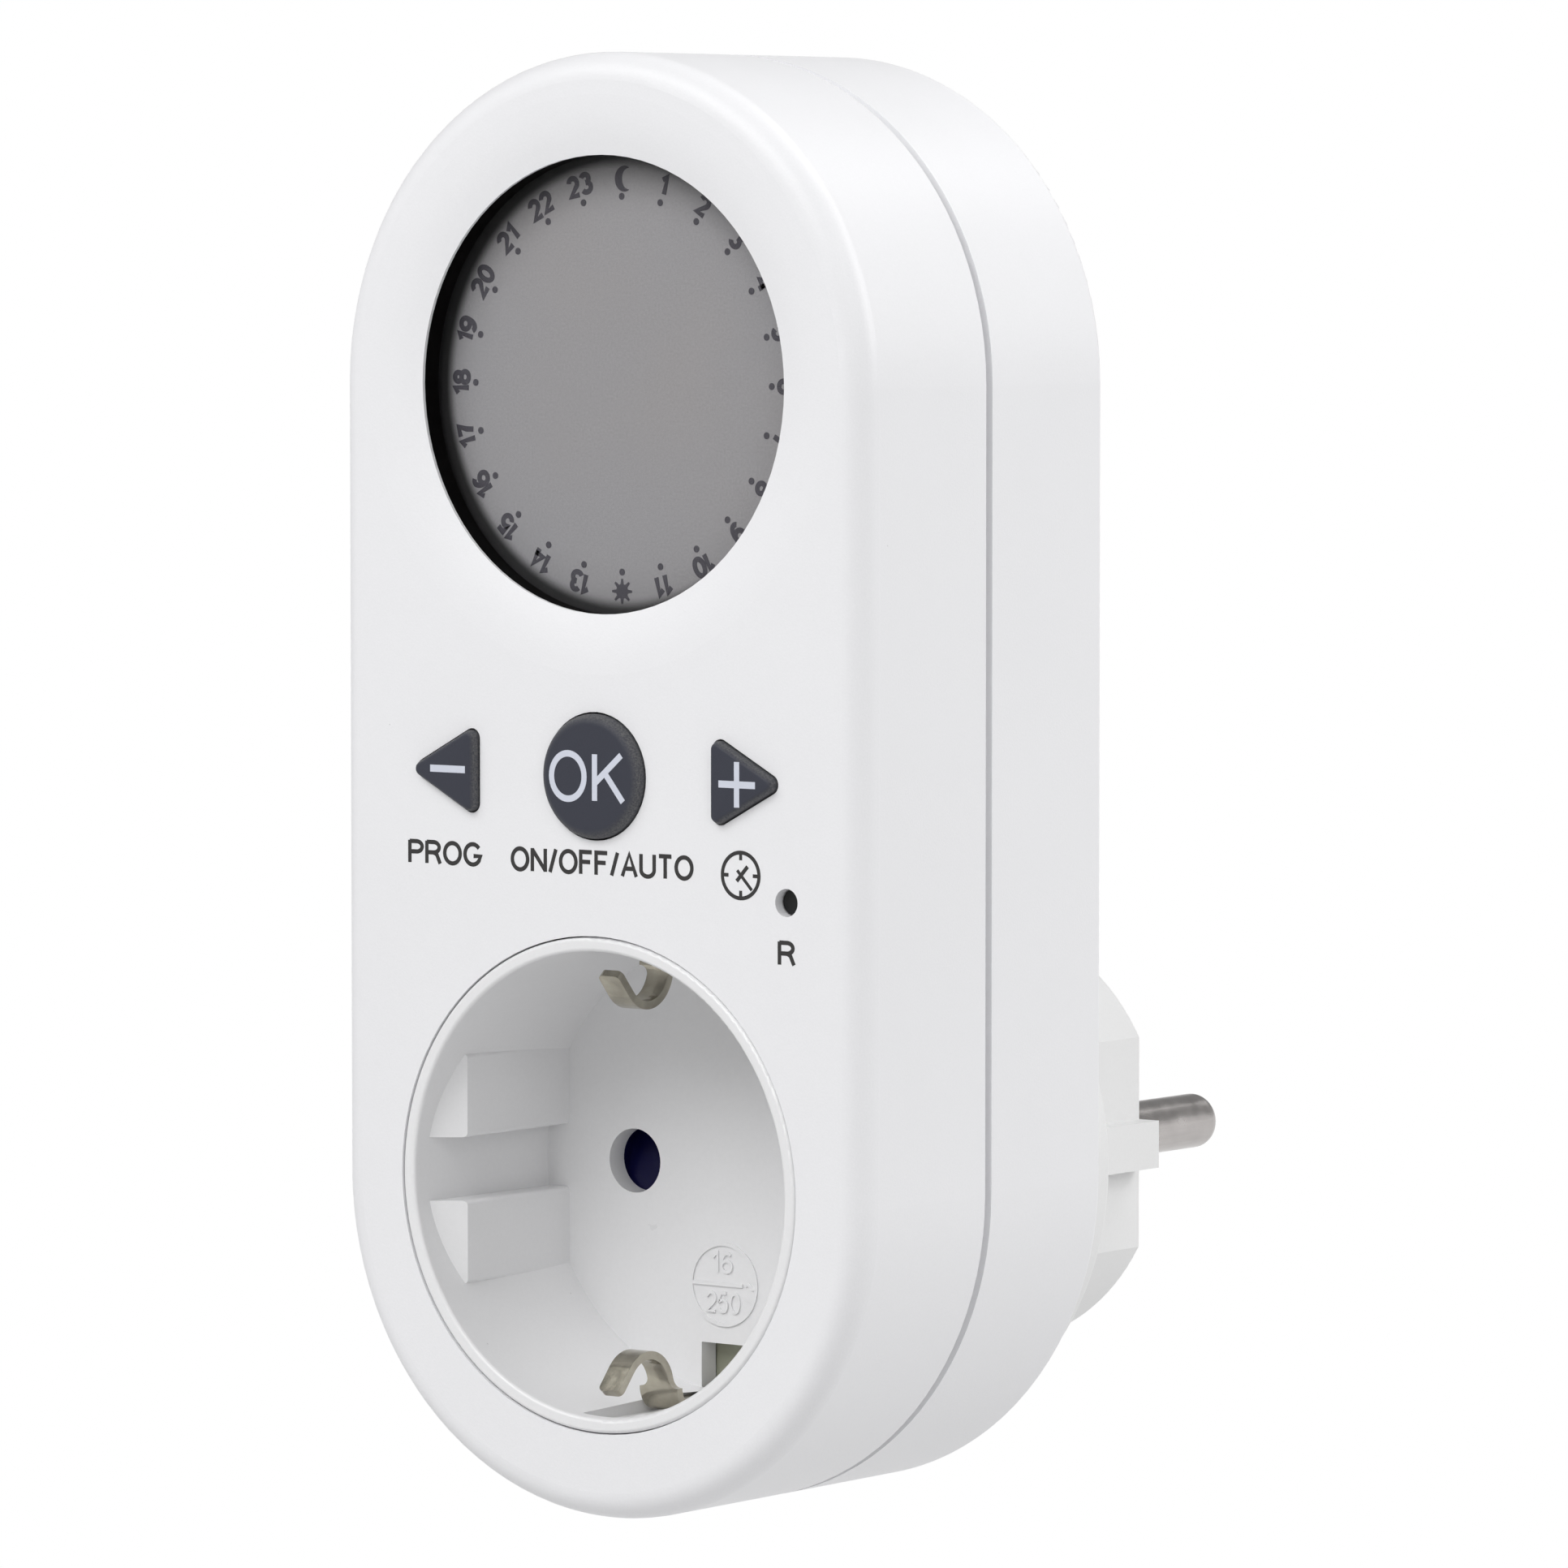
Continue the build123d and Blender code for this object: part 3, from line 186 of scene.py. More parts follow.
plate = plate_skin()
pin_nickel = skin_material("pin_nickel_plate", plate, paint(184, 180, 178),
                           {"Gloss": 0.24, "Line": 2600.0, "Tarnish": 0.3}, 0.3, 0.02,
                           Metallic=1.0)
dress(pin_nickel, "plug_pin_left", "plug_pin_right")

# ---- Current bars and earth clips ------------------------------------------------
# Strips stamped from rolled brass and bent: bare brass for the two poles and their
# contacts, nickel plated for the earth strips whose clips show in the recess.

bar_brass = skin_material("bar_rolled_brass", plate, paint(201, 170, 104),
                          {"Gloss": 0.3, "Line": 1800.0, "Tarnish": 0.4}, 0.3, 0.02,
                          Metallic=1.0)
dress(bar_brass, "live_bar", "neutral_bar", "switched_bar", "socket_contact_left",
      "socket_contact_right")
earth_nickel = skin_material("earth_nickel_plate", plate, paint(174, 169, 155),
                             {"Gloss": 0.17, "Line": 1500.0, "Tarnish": 1.3}, 0.5, 0.03,
                             Metallic=1.0)
dress(earth_nickel, "earth_strip_top", "earth_strip_bottom", "earth_link")

# ---- Socket insert ---------------------------------------------------------------
# The recess is one polycarbonate moulding, glossier than the case. Its floor carries a
# raised rating mark: a ring round plain figures, which the mould leaves 0.14 mm high.

insert_white = skin_material("insert_white_polycarbonate", mould, paint(230, 230, 231),
                             {"Gloss": 0.3, "Grain": 3000.0, "Cloud": 0.03}, 0.08, 0.04,
                             IOR=1.58)
dress(insert_white, "socket_insert")


def shell(rings, loop=False):
    """Closed surface through rings of points, each ring joined to the next by quads.

    A fan closes each end; in a loop the last ring joins the first instead. Faces are
    turned round where the enclosed volume, a sixth of the sum of each face's corner
    vectors' triple product, comes out negative."""
    count, around = rings.shape[:2]
    i = np.arange(count if loop else count - 1)[:, None] * around
    j = np.arange(around)[None, :]
    k = (j + 1) % around
    after = (i + around) % (count * around)
    quads = np.stack([i + j, i + k, after + k, after + j], -1).reshape(-1, 4)
    points = rings.reshape(-1, 3)
    fans = np.zeros((0, 3), int)
    if not loop:
        points = np.concatenate([points, rings[[0, -1]].mean(axis=1)])
        first, last = count * around, count * around + 1
        rim, turn = np.arange(around), (np.arange(around) + 1) % around
        end = (count - 1) * around
        fans = np.concatenate([
            np.stack([np.full(around, first), turn, rim], -1),
            np.stack([np.full(around, last), end + rim, end + turn], -1),
        ])
    halves = np.concatenate([quads[:, [0, 1, 2]], quads[:, [0, 2, 3]], fans])
    corners = points[halves]
    volume = np.einsum("ij,ij->", corners[:, 0], np.cross(corners[:, 1], corners[:, 2]))
    if volume < 0:
        quads, fans = quads[:, ::-1], fans[:, ::-1]
    return points, quads, fans


def stroke(path, weight, foot, top, loop=False):
    """Flat bar along a path of face points (x, z), from reach foot to reach top, in mm.

    Each side is the path moved by half the weight along the mitre of its two runs: the
    sum of their normals over one plus their dot product, no longer than 1.5."""
    path = np.asarray(path, float)
    runs = np.diff(np.concatenate([path, path[:1]]) if loop else path, axis=0)
    runs = runs / np.linalg.norm(runs, axis=1, keepdims=True)
    normals = np.stack([-runs[:, 1], runs[:, 0]], -1)
    if loop:
        before, after = np.roll(normals, 1, axis=0), normals
    else:
        before = np.concatenate([normals[:1], normals])
        after = np.concatenate([normals, normals[-1:]])
    mitre = (before + after) / (1.001 + (before * after).sum(1, keepdims=True))
    mitre = mitre * np.minimum(1, 1.5 / np.linalg.norm(mitre, axis=1, keepdims=True))
    half = mitre * np.broadcast_to(np.atleast_1d(weight)[:, None], (len(path), 1)) / 2
    sides = np.stack([path - half, path - half, path + half, path + half], 1)
    reach = np.broadcast_to([foot, top, top, foot], sides.shape[:2])
    return shell(np.stack([sides[..., 0], -reach, sides[..., 1]], -1) * mm, loop)


def arc(x, z, across, up, start, end, count=25):
    """Points of an ellipse about (x, z), from one angle to another in degrees."""
    turn = np.radians(np.linspace(start, end, count))
    return np.stack([x + across * np.cos(turn), z + up * np.sin(turn)], -1)


def ring(x, z, across, up, count=40):
    """Points once round an ellipse, without repeating the first."""
    return arc(x, z, across, up, 0, 360 * (1 - 1 / count), count)


def figure(sign):
    """Width of a figure one high, its open strokes and its closed ones."""
    bowl, stem = ring(0.31, 0.3, 0.31, 0.3), arc(0.37, 0.34, 0.37, 0.66, 180, 58)
    swan = np.concatenate([arc(0.3, 0.71, 0.29, 0.29, 168, -38), [(0, 0), (0.6, 0)]])
    upper, lower = arc(0.28, 0.76, 0.26, 0.24, 155, -90), arc(0.28, 0.27, 0.31, 0.27, 90, -155)
    hook = np.concatenate([[(0.54, 1), (0.1, 1)], arc(0.29, 0.32, 0.3, 0.32, 140, -150)])
    return {
        "0": (0.62, [], [ring(0.31, 0.5, 0.31, 0.5)]),
        "1": (0.3, [[(0, 0.76), (0.3, 1), (0.3, 0)]], []),
        "2": (0.6, [swan], []),
        "3": (0.6, [upper, lower], []),
        "4": (0.64, [[(0.47, 0), (0.47, 1), (0, 0.3), (0.64, 0.3)]], []),
        "5": (0.6, [hook], []),
        "6": (0.62, [stem], [bowl]),
        "7": (0.58, [[(0, 1), (0.58, 1), (0.34, 0.5), (0.2, 0)]], []),
        "8": (0.6, [], [ring(0.3, 0.76, 0.25, 0.24), ring(0.3, 0.27, 0.3, 0.27)]),
        "9": (0.62, [(0.62, 1.0) - stem], [(0.62, 1.0) - bowl]),
    }[sign]


bar_step = 0.002


def set_line(signs, shapes, box, weight, foot, top, gap=0.24):
    """Bars for a line of signs that fills the box (left, right, low, high) in mm.

    A sign's points are stretched to the box less one bar's weight. Bars that cross must
    not share a face, so each next one lies a bar step lower, and every fifth starts anew."""
    left, right, low, high = box
    widths = [shapes(sign)[0] for sign in signs]
    across = (right - left - weight) / (sum(widths) + gap * (len(signs) - 1))
    up = high - low - weight
    corner = (left + weight / 2, low + weight / 2)
    bars, start = [], 0.0
    for sign, width in zip(signs, widths):
        _, opened, closed = shapes(sign)
        for path, loop in [(p, False) for p in opened] + [(p, True) for p in closed]:
            spot = (np.asarray(path) + (start, 0)) * (across, up) + corner
            bars.append(stroke(spot, weight, foot, top - bar_step * (len(bars) % 4), loop))
        start += width + gap
    return bars


sharp_edge = np.radians(32.0)


def make_piece(name, shells, material, body):
    """One mesh from several closed surfaces, smooth but for its sharp edges, on a body."""
    points, faces, used = [], [], 0
    for corners, quads, fans in shells:
        points.append(corners)
        faces += (quads + used).tolist() + (fans + used).tolist()
        used += len(corners)
    mesh = bpy.data.meshes.new(name)
    mesh.from_pydata(np.concatenate(points).tolist(), [], faces)
    mesh.polygons.foreach_set("use_smooth", np.ones(len(mesh.polygons), bool))
    mesh.set_sharp_from_angle(angle=sharp_edge)
    mesh.materials.append(material)
    piece = bpy.data.objects.new(name, mesh)
    bpy.context.scene.collection.objects.link(piece)
    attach(piece, body)
    return piece


recess_floor = 38.5
mark_foot, mark_top = recess_floor - 0.02, recess_floor + 0.14
line_top = mark_top - 0.01
mark_x, mark_z, mark_radius = 0.1, -9.94, 3.45
mark_weight, figure_weight = 0.3, 0.26
wave_x = np.linspace(mark_x + 2.25, mark_x + 3.35, 16)
wave = np.stack([wave_x, mark_z + 0.18 * np.sin((wave_x - wave_x[0]) * 5.7)], -1)
line = [(mark_x - 3.3, mark_z), (mark_x + 2.0, mark_z)]
mark = [stroke(ring(mark_x, mark_z, mark_radius, mark_radius, 72), mark_weight, mark_foot,
               mark_top, True),
        stroke(line, mark_weight, mark_foot, line_top),
        stroke(wave, mark_weight, mark_foot, line_top)]
for figures, box in (("16", (-1.2, 1.05, -9.0, -7.15)), ("250", (-1.82, 1.85, -12.4, -10.55))):
    mark += set_line(figures, figure, box, figure_weight, mark_foot, mark_top)
make_piece("rating_mark", mark, insert_white, "case")

# ---- Shutter, spring and contact carrier -----------------------------------------
# A dark blue acetal plate slides down behind the pin holes, on a small spring wound from
# steel wire, which shortens as it goes. Behind it a grey heat-proof carrier, held by two
# screws, keeps the contacts in their chimneys.

shutter_blue = skin_material("shutter_blue_acetal", mould, paint(12, 11, 60),
                             {"Gloss": 0.35, "Grain": 2600.0, "Cloud": 0.1}, 0.1, 0.03,
                             IOR=1.48, Specular_IOR_Level=0.25)
dress(shutter_blue, "safety_shutter")
spring_steel = skin_material("spring_steel_wire", plate, paint(168, 170, 174),
                             {"Gloss": 0.2, "Line": 4000.0, "Tarnish": 0.2}, 0.2, 0.01,
                             Metallic=1.0)


def coil(x, y, low, high, radius, wire, turns):
    """Wire wound about an upright line through (x, y), in mm; wire is its own radius.

    Its middle climbs 1.1 times its thickness in the first turn and in the last, which lie
    closed, and evenly in between. A section is a circle between the way out and up."""
    turn = np.linspace(0, turns, 30 * turns + 1)
    climb = np.interp(turn, [0, 1, turns - 1, turns],
                      [low, low + 2.2 * wire, high - 2.2 * wire, high])
    angle = 2 * np.pi * turn
    out = np.stack([np.cos(angle), np.sin(angle), np.zeros_like(angle)], -1)
    rise = np.array([0, 0, 1])
    middle = np.array([x, y, 0]) + radius * out + climb[:, None] * rise
    about = np.linspace(0, 2 * np.pi, 12, endpoint=False)[None, :, None]
    section = wire * (np.cos(about) * out[:, None] + np.sin(about) * rise)
    return shell((middle[:, None] + section) * mm)


spring_low, spring_high = (np.array(corner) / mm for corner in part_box("shutter_spring"))
spring_y = (spring_low[1] + spring_high[1]) / 2
wire, coil_radius, coil_turns = 0.2, 1.3, 6
winding = coil(0, spring_y, spring_low[2] + wire, spring_high[2] - wire, coil_radius, wire,
               coil_turns)
spring = make_piece("shutter_coil", [winding], spring_steel, "case")
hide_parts("shutter_spring")
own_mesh(spring)
carrier_grey = skin_material("carrier_grey_polyester", mould, paint(164, 166, 148),
                             {"Gloss": 0.5, "Grain": 2200.0, "Cloud": 0.12}, 0.3, 0.05)
dress(carrier_grey, "contact_carrier")

# ---- Display ---------------------------------------------------------------------
# A round reflective liquid crystal cell in a black bezel. The hour ring, a moon at
# midnight and a sun at noon are drawn in its dark segments, under a clear window.

bezel_black = skin_material("bezel_black_abs", mould, paint(9, 8, 8),
                            {"Gloss": 0.6, "Grain": 4200.0, "Cloud": 0.1}, 0.3, 0.04,
                            Specular_IOR_Level=0.05)
dress(bezel_black, "lcd_bezel")

window_z = 66.5
cell_front = 52.2
# Radii of the dark rim band: the seal line outside, and painted shade of the bezel wall's
# shadow fading inwards.
seal_shade_inside, seal_shade_outside = 17.6, 18.8


def cell_skin():
    """Display cell: grey with the fine grit of its reflector and a faint warm stain.

    It turns black along its rim, by distance from the cell's middle: a thin dark seal line
    whose soft inner edge is painted shade standing in for the bezel wall's shadow."""
    group, given, result = skin_group("cell_skin", ("Gloss", "Grit"))
    place = add_node(group, "ShaderNodeTexCoord").outputs["Object"]
    middle = (0.0, -cell_front * mm, window_z * mm)
    away = add_node(group, "ShaderNodeVectorMath", {0: place, 1: middle},
                    operation="DISTANCE").outputs["Value"]
    # Darkens the rim: partly the seal's dark line, partly painted shade for the bezel wall's
    # shadow.
    seal_and_painted_shade = add_node(group, "ShaderNodeMapRange",
                    {"Value": away, "From Min": seal_shade_inside * mm, "From Max": seal_shade_outside * mm,
                     "To Min": 1.0, "To Max": 0.08},
                    interpolation_type="SMOOTHSTEP").outputs["Result"]
    grit = add_node(group, "ShaderNodeTexNoise",
                    {"Vector": place, "Scale": 5000.0, "Detail": 3.0}).outputs["Fac"]
    stain = add_node(group, "ShaderNodeTexNoise",
                     {"Vector": place, "Scale": 45.0, "Detail": 2.0}).outputs["Fac"]
    level = math(group, "MULTIPLY_ADD", math(group, "SUBTRACT", grit, 0.5), given["Grit"], 1.0)
    tone = add_node(group, "ShaderNodeVectorMath",
                    {0: given["Colour"], "Scale": math(group, "MULTIPLY", level, seal_and_painted_shade)},
                    operation="SCALE").outputs[0]
    warm = add_node(group, "ShaderNodeMix", {"Factor": stain, 6: (0.97, 0.98, 1.02, 1.0),
                                             7: (1.05, 1.0, 0.98, 1.0)}, data_type="RGBA")
    mixed = add_node(group, "ShaderNodeVectorMath", {0: tone, 1: warm.outputs[2]},
                     operation="MULTIPLY").outputs[0]
    rough = math(group, "MULTIPLY_ADD", math(group, "SUBTRACT", grit, 0.5), 0.1, given["Gloss"])
    group.links.new(mixed, result["Colour"])
    group.links.new(rough, result["Roughness"])
    group.links.new(grit, result["Height"])
    return group


cell = cell_skin()
cell_grey = skin_material("display_cell_grey", cell, paint(152, 151, 152),
                          {"Gloss": 0.5, "Grit": 0.4}, 0.05, 0.01, Specular_IOR_Level=0.2)
dress(cell_grey, "lcd_panel")
segment_dark = skin_material("display_segment_dark", cell, paint(74, 72, 78),
                             {"Gloss": 0.5, "Grit": 0.3}, 0.05, 0.01, Specular_IOR_Level=0.2)


def dot(x, z, radius, foot, top, count=20):
    """Flat round disc facing forward: two rings of points joined and closed."""
    edge = ring(x, z, radius, radius, count)
    reach = np.broadcast_to(np.array([foot, top])[:, None], (2, count))
    spots = np.broadcast_to(edge, (2, count, 2))
    return shell(np.stack([spots[..., 0], -reach, spots[..., 1]], -1) * mm)


def on_ring(shapes, angle):
    """Flat shapes drawn about the top of the ring, turned clockwise by the angle."""
    cosine, sine = np.cos(np.radians(angle)), np.sin(np.radians(angle))
    spin = np.array([[cosine, 0, sine], [0, 1, 0], [-sine, 0, cosine]])
    centre = np.array([0, 0, window_z]) * mm
    return [((points - centre) @ spin.T + centre, quads, fans)
            for points, quads, fans in shapes]


segment_foot, segment_front = cell_front - 0.01, cell_front + 0.03
dot_z, hour_low, hour_high = window_z + 15.57, window_z + 16.1, window_z + 18.04
hour_weight, hour_gap = 0.46, 0.3
hour_ring = []
for hour in range(24):
    spot = dot(0, dot_z, 0.29, segment_foot, segment_front)
    hour_ring += on_ring([spot], hour * 15)
    if hour % 12:
        across = sum(figure(sign)[0] for sign in str(hour)) + hour_gap * (hour > 9)
        half = 0.2 + across * 0.77
        bars = set_line(str(hour), figure, (-half, half, hour_low, hour_high), hour_weight,
                        segment_foot, segment_front, hour_gap)
        hour_ring += on_ring(bars, hour * 15)
moon_path = arc(0.52, window_z + 17.03, 0.86, 0.94, 75, 285, 33)
moon_weight = 0.06 + 0.68 * np.sin(np.pi * np.linspace(0, 1, 33))
hour_ring.append(stroke(moon_path, moon_weight, segment_foot, segment_front))
sun_z = window_z - 17.18
ray_taper, ray_front = np.array([0.34, 0.18]), segment_front - 2 * bar_step
hour_ring.append(dot(0, sun_z, 0.62, segment_foot, segment_front, 32))
for ray in range(8):
    way = np.array([np.sin(ray * np.pi / 4), np.cos(ray * np.pi / 4)])
    hour_ring.append(stroke([way * 0.55 + (0, sun_z), way * 1.05 + (0, sun_z)], ray_taper,
                            segment_foot, ray_front))
make_piece("hour_ring", hour_ring, segment_dark, "case")


def turned(profile, x, z, count=128):
    """Closed body turned about the line along Y through (x, z).

    Each (radius, reach) of the profile becomes a ring of points; radius nought is a pole."""
    profile = np.asarray(profile, float)
    turn = np.linspace(0, 2 * np.pi, count, endpoint=False)
    radius = np.maximum(profile[:, :1], 1e-3)
    reach = np.broadcast_to(profile[:, 1:], (len(profile), count))
    rings = np.stack([x + radius * np.cos(turn), -reach, z + radius * np.sin(turn)], -1)
    return shell(rings * mm)


def rounded(radius, foot, top, edge):
    """Profile of a disc whose front edge is rounded off by a quarter circle."""
    bend = np.linspace(0, np.pi / 2, 9)
    side = radius - edge + edge * np.cos(bend)
    rise = top - edge + edge * np.sin(bend)
    corner = np.stack([side, rise], -1)
    return np.concatenate([[(0, foot), (radius, foot)], corner, [(0, top)]])


window_clear = bpy.data.materials.new("window_clear_acrylic")
window_clear.use_nodes = True
tree = window_clear.node_tree
glass = tree.nodes["Principled BSDF"]
for socket, value in {"Base Color": (0.97, 0.98, 0.98, 1.0), "Transmission Weight": 1.0,
                      "IOR": 1.12, "Metallic": 0.0}.items():
    glass.inputs[socket].default_value = value
place = add_node(tree, "ShaderNodeTexCoord").outputs["Object"]
haze = add_node(tree, "ShaderNodeTexNoise", {"Vector": place, "Scale": 180.0, "Detail": 4.0})
tree.links.new(math(tree, "MULTIPLY", haze.outputs["Fac"], 0.03), glass.inputs["Roughness"])
ray = add_node(tree, "ShaderNodeLightPath").outputs
through = math(tree, "MAXIMUM", ray["Is Shadow Ray"], ray["Is Diffuse Ray"])
let_light = add_node(tree, "ShaderNodeBsdfTransparent", {"Color": (0.96, 0.96, 0.96, 1.0)})
pass_on = add_node(tree, "ShaderNodeMixShader", {"Fac": through, 1: glass.outputs[0],
                                                 2: let_light.outputs[0]})
tree.links.new(pass_on.outputs[0], tree.nodes["Material Output"].inputs["Surface"])
pane_radius, pane_foot, pane_top, pane_edge = 20.35, cell_front + 0.08, 53.0, 0.1
pane_disc = turned(rounded(pane_radius, pane_foot, pane_top, pane_edge), 0, window_z)
pane = make_piece("display_window", [pane_disc], window_clear, "case")
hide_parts("lcd_window")

pad_foam = skin_material("pad_black_foam", mould, paint(38, 38, 40),
                         {"Gloss": 0.85, "Grain": 1600.0, "Cloud": 0.3}, 0.9, 0.2)
dress(pad_foam, "lcd_pad")


def stripe_skin():
    """Contact strip: thin conducting layers across X, black between pink silicone."""
    group, given, result = skin_group("stripe_skin", ("Gloss", "Pitch"))
    place = add_node(group, "ShaderNodeTexCoord").outputs["Object"]
    across = add_node(group, "ShaderNodeSeparateXYZ", {"Vector": place}).outputs["X"]
    wave_in = math(group, "SINE", math(group, "MULTIPLY", across, given["Pitch"]))
    layer = math(group, "GREATER_THAN", wave_in, 0.0)
    tone = add_node(group, "ShaderNodeMix", {"Factor": layer, 6: given["Colour"],
                                             7: paint(30, 30, 32)}, data_type="RGBA")
    rough = math(group, "MULTIPLY_ADD", layer, 0.2, given["Gloss"])
    group.links.new(tone.outputs[2], result["Colour"])
    group.links.new(rough, result["Roughness"])
    group.links.new(wave_in, result["Height"])
    return group


zebra_rubber = skin_material("zebra_layered_rubber", stripe_skin(), paint(196, 140, 138),
                             {"Gloss": 0.5, "Pitch": 31400.0}, 0.3, 0.02)
dress(zebra_rubber, "zebra_strip_top", "zebra_strip_bottom")

# ---- Keys ------------------------------------------------------------------------
# Three slate keys of hard silicone rubber, with soft edges that carry a painted sheen. Their
# signs are printed in pale blue ink. Each presses straight in on its own switch.


def rubber_skin():
    """Rubber key: flat colour on the face, with a speckled painted sheen down its soft edge.

    The edge shows by how far a point lies behind the key's face, measured along Y."""
    group, given, result = skin_group("rubber_skin", ("Gloss", "Face", "Soft"))
    place = add_node(group, "ShaderNodeTexCoord").outputs["Object"]
    behind = math(group, "SUBTRACT", add_node(group, "ShaderNodeSeparateXYZ",
                                              {"Vector": place}).outputs["Y"], given["Face"])
    edge = add_node(group, "ShaderNodeMapRange", {"Value": behind, "From Max": given["Soft"]})
    grain = add_node(group, "ShaderNodeTexNoise",
                     {"Vector": place, "Scale": 6500.0, "Detail": 3.0}).outputs["Fac"]
    # Paler speckled colour down the soft edge: a painted sheen.
    fleck = math(group, "MULTIPLY_ADD", grain, 1.6, -0.35)
    painted_edge_sheen = math(group, "MULTIPLY", edge.outputs["Result"], fleck)
    tone = add_node(group, "ShaderNodeMix", {"Factor": math(group, "MULTIPLY", painted_edge_sheen, 0.7),
                                             6: given["Colour"], 7: paint(122, 121, 118)},
                    data_type="RGBA")
    rough = math(group, "MULTIPLY_ADD", edge.outputs["Result"], 0.1, given["Gloss"])
    group.links.new(tone.outputs[2], result["Colour"])
    group.links.new(rough, result["Roughness"])
    group.links.new(grain, result["Height"])
    return group


rubber = rubber_skin()
key_z, key_back, key_rim, key_side = 34.1, 52.9, 53.9, 56.0
ok_front, arrow_front = 56.97, 56.8
slate = paint(52, 54, 64)
arrow_slate = skin_material("key_slate_rubber", rubber, slate,
                            {"Gloss": 0.55, "Face": -arrow_front * mm, "Soft": 0.25 * mm}, 0.35,
                            0.05, Specular_IOR_Level=0.3)
ok_slate = skin_material("ok_key_slate_rubber", rubber, slate,
                         {"Gloss": 0.55, "Face": -ok_front * mm, "Soft": 0.3 * mm}, 0.35, 0.05,
                         Specular_IOR_Level=0.3)
rim_width = 1.1
stem_radius, stem_back, stem_front = 1.8, 52.6, key_back + 0.05


def key_cap(corners, angles, radius, front, soft):
    """Key with a rim behind the cover and a soft front edge, closed at both ends.

    Its outline runs round arcs of one radius about the corners. A ring of the profile has
    that radius less its inset; the edge's inset is soft times one less the cosine of its
    turn, and its reach rises by the sine, from the key's side to its front."""
    bend = np.linspace(0, np.pi / 2, 12)
    inset = soft * (1 - np.cos(bend))
    edge = np.stack([inset, key_side + (front - key_side) * np.sin(bend)], -1)
    rim = [(-rim_width, key_back), (-rim_width, key_rim), (0, key_rim)]
    profile = np.concatenate([rim, edge])
    turn = np.radians(angles)
    way = np.stack([np.cos(turn), np.sin(turn)], -1)
    spots = np.asarray(corners) + (radius - profile[:, 0, None, None]) * way
    reach = np.broadcast_to(profile[:, 1:], spots.shape[:2])
    return shell(np.stack([spots[..., 0], -reach, spots[..., 1]], -1) * mm)


def key_stem(x):
    """Round stem behind a key, down to its switch: a straight profile turned about Y."""
    profile = [(0, stem_back), (stem_radius, stem_back), (stem_radius, stem_front),
               (0, stem_front)]
    return turned(profile, x, key_z, 48)


def fit_key(name, cap, stem_x, material):
    """Makes a key from its cap and a stem, which stands for the key's node."""
    piece = make_piece(name + "_cap", [cap, key_stem(stem_x)], material, name)
    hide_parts(name)


ok_radius, ok_soft = 5.2, 0.9
round_way = np.linspace(0, 360, 128, endpoint=False)
fit_key("ok_key", key_cap([(0, key_z)] * 128, round_way, ok_radius, ok_front, ok_soft), 0,
        ok_slate)
base_x, tip_x, base_half, stem_x = 13.1, 18.163, 2.703, 14.8
arrow_radius, arrow_soft, slant = 0.7, 0.45, 61.9
arrow_way = np.concatenate([np.linspace(180, slant, 14), np.linspace(slant, -slant, 14),
                            np.linspace(-slant, -180, 14)])
for name, out, way in (("minus_key", -1, 180 - arrow_way), ("plus_key", 1, arrow_way)):
    heads = [(base_x * out, key_z + base_half), (tip_x * out, key_z),
             (base_x * out, key_z - base_half)]
    cap = key_cap(np.repeat(heads, 14, axis=0), way, arrow_radius, arrow_front, arrow_soft)
    fit_key(name, cap, stem_x * out, arrow_slate)

key_ink = skin_material("key_pale_ink", mould, paint(206, 210, 222),
                        {"Gloss": 0.55, "Grain": 5000.0, "Cloud": 0.08}, 0.2, 0.02)


def letter(sign):
    """Width of a capital one high, its open strokes and its closed ones."""
    post = [(0, -0.05), (0, 1.05)]
    bowl = np.concatenate([[(0, 1)], arc(0.34, 0.745, 0.28, 0.255, 90, -90), [(0, 0.49)]])
    hook = np.concatenate([arc(0.39, 0.5, 0.39, 0.5, 38, 322), [(0.78, 0.42), (0.43, 0.42)]])
    cup = np.concatenate([[(0, 1.05)], arc(0.33, 0.31, 0.33, 0.31, 180, 360), [(0.66, 1.05)]])
    return {
        "P": (0.62, [post, bowl], []),
        "R": (0.66, [post, bowl, [(0.34, 0.49), (0.5, 0.4), (0.67, -0.05)]], []),
        "O": (0.78, [], [ring(0.39, 0.5, 0.39, 0.5)]),
        "G": (0.78, [hook], []),
        "N": (0.66, [post, [(0, 1), (0.66, 0)], [(0.66, -0.05), (0.66, 1.05)]], []),
        "F": (0.54, [[(0, -0.05), (0, 1), (0.56, 1)], [(0, 0.53), (0.48, 0.53)]], []),
        "A": (0.7, [[(0, -0.05), (0.35, 1.02), (0.7, -0.05)], [(0.12, 0.32), (0.58, 0.32)]],
              []),
        "U": (0.66, [cup], []),
        "T": (0.62, [[(0, 1), (0.62, 1)], [(0.31, 1), (0.31, -0.05)]], []),
        "K": (0.62, [post, [(0.6, 1.05), (0, 0.36)], [(0.24, 0.6), (0.64, -0.05)]], []),
        "/": (0.3, [[(0, -0.05), (0.3, 1.05)]], []),
    }[sign]


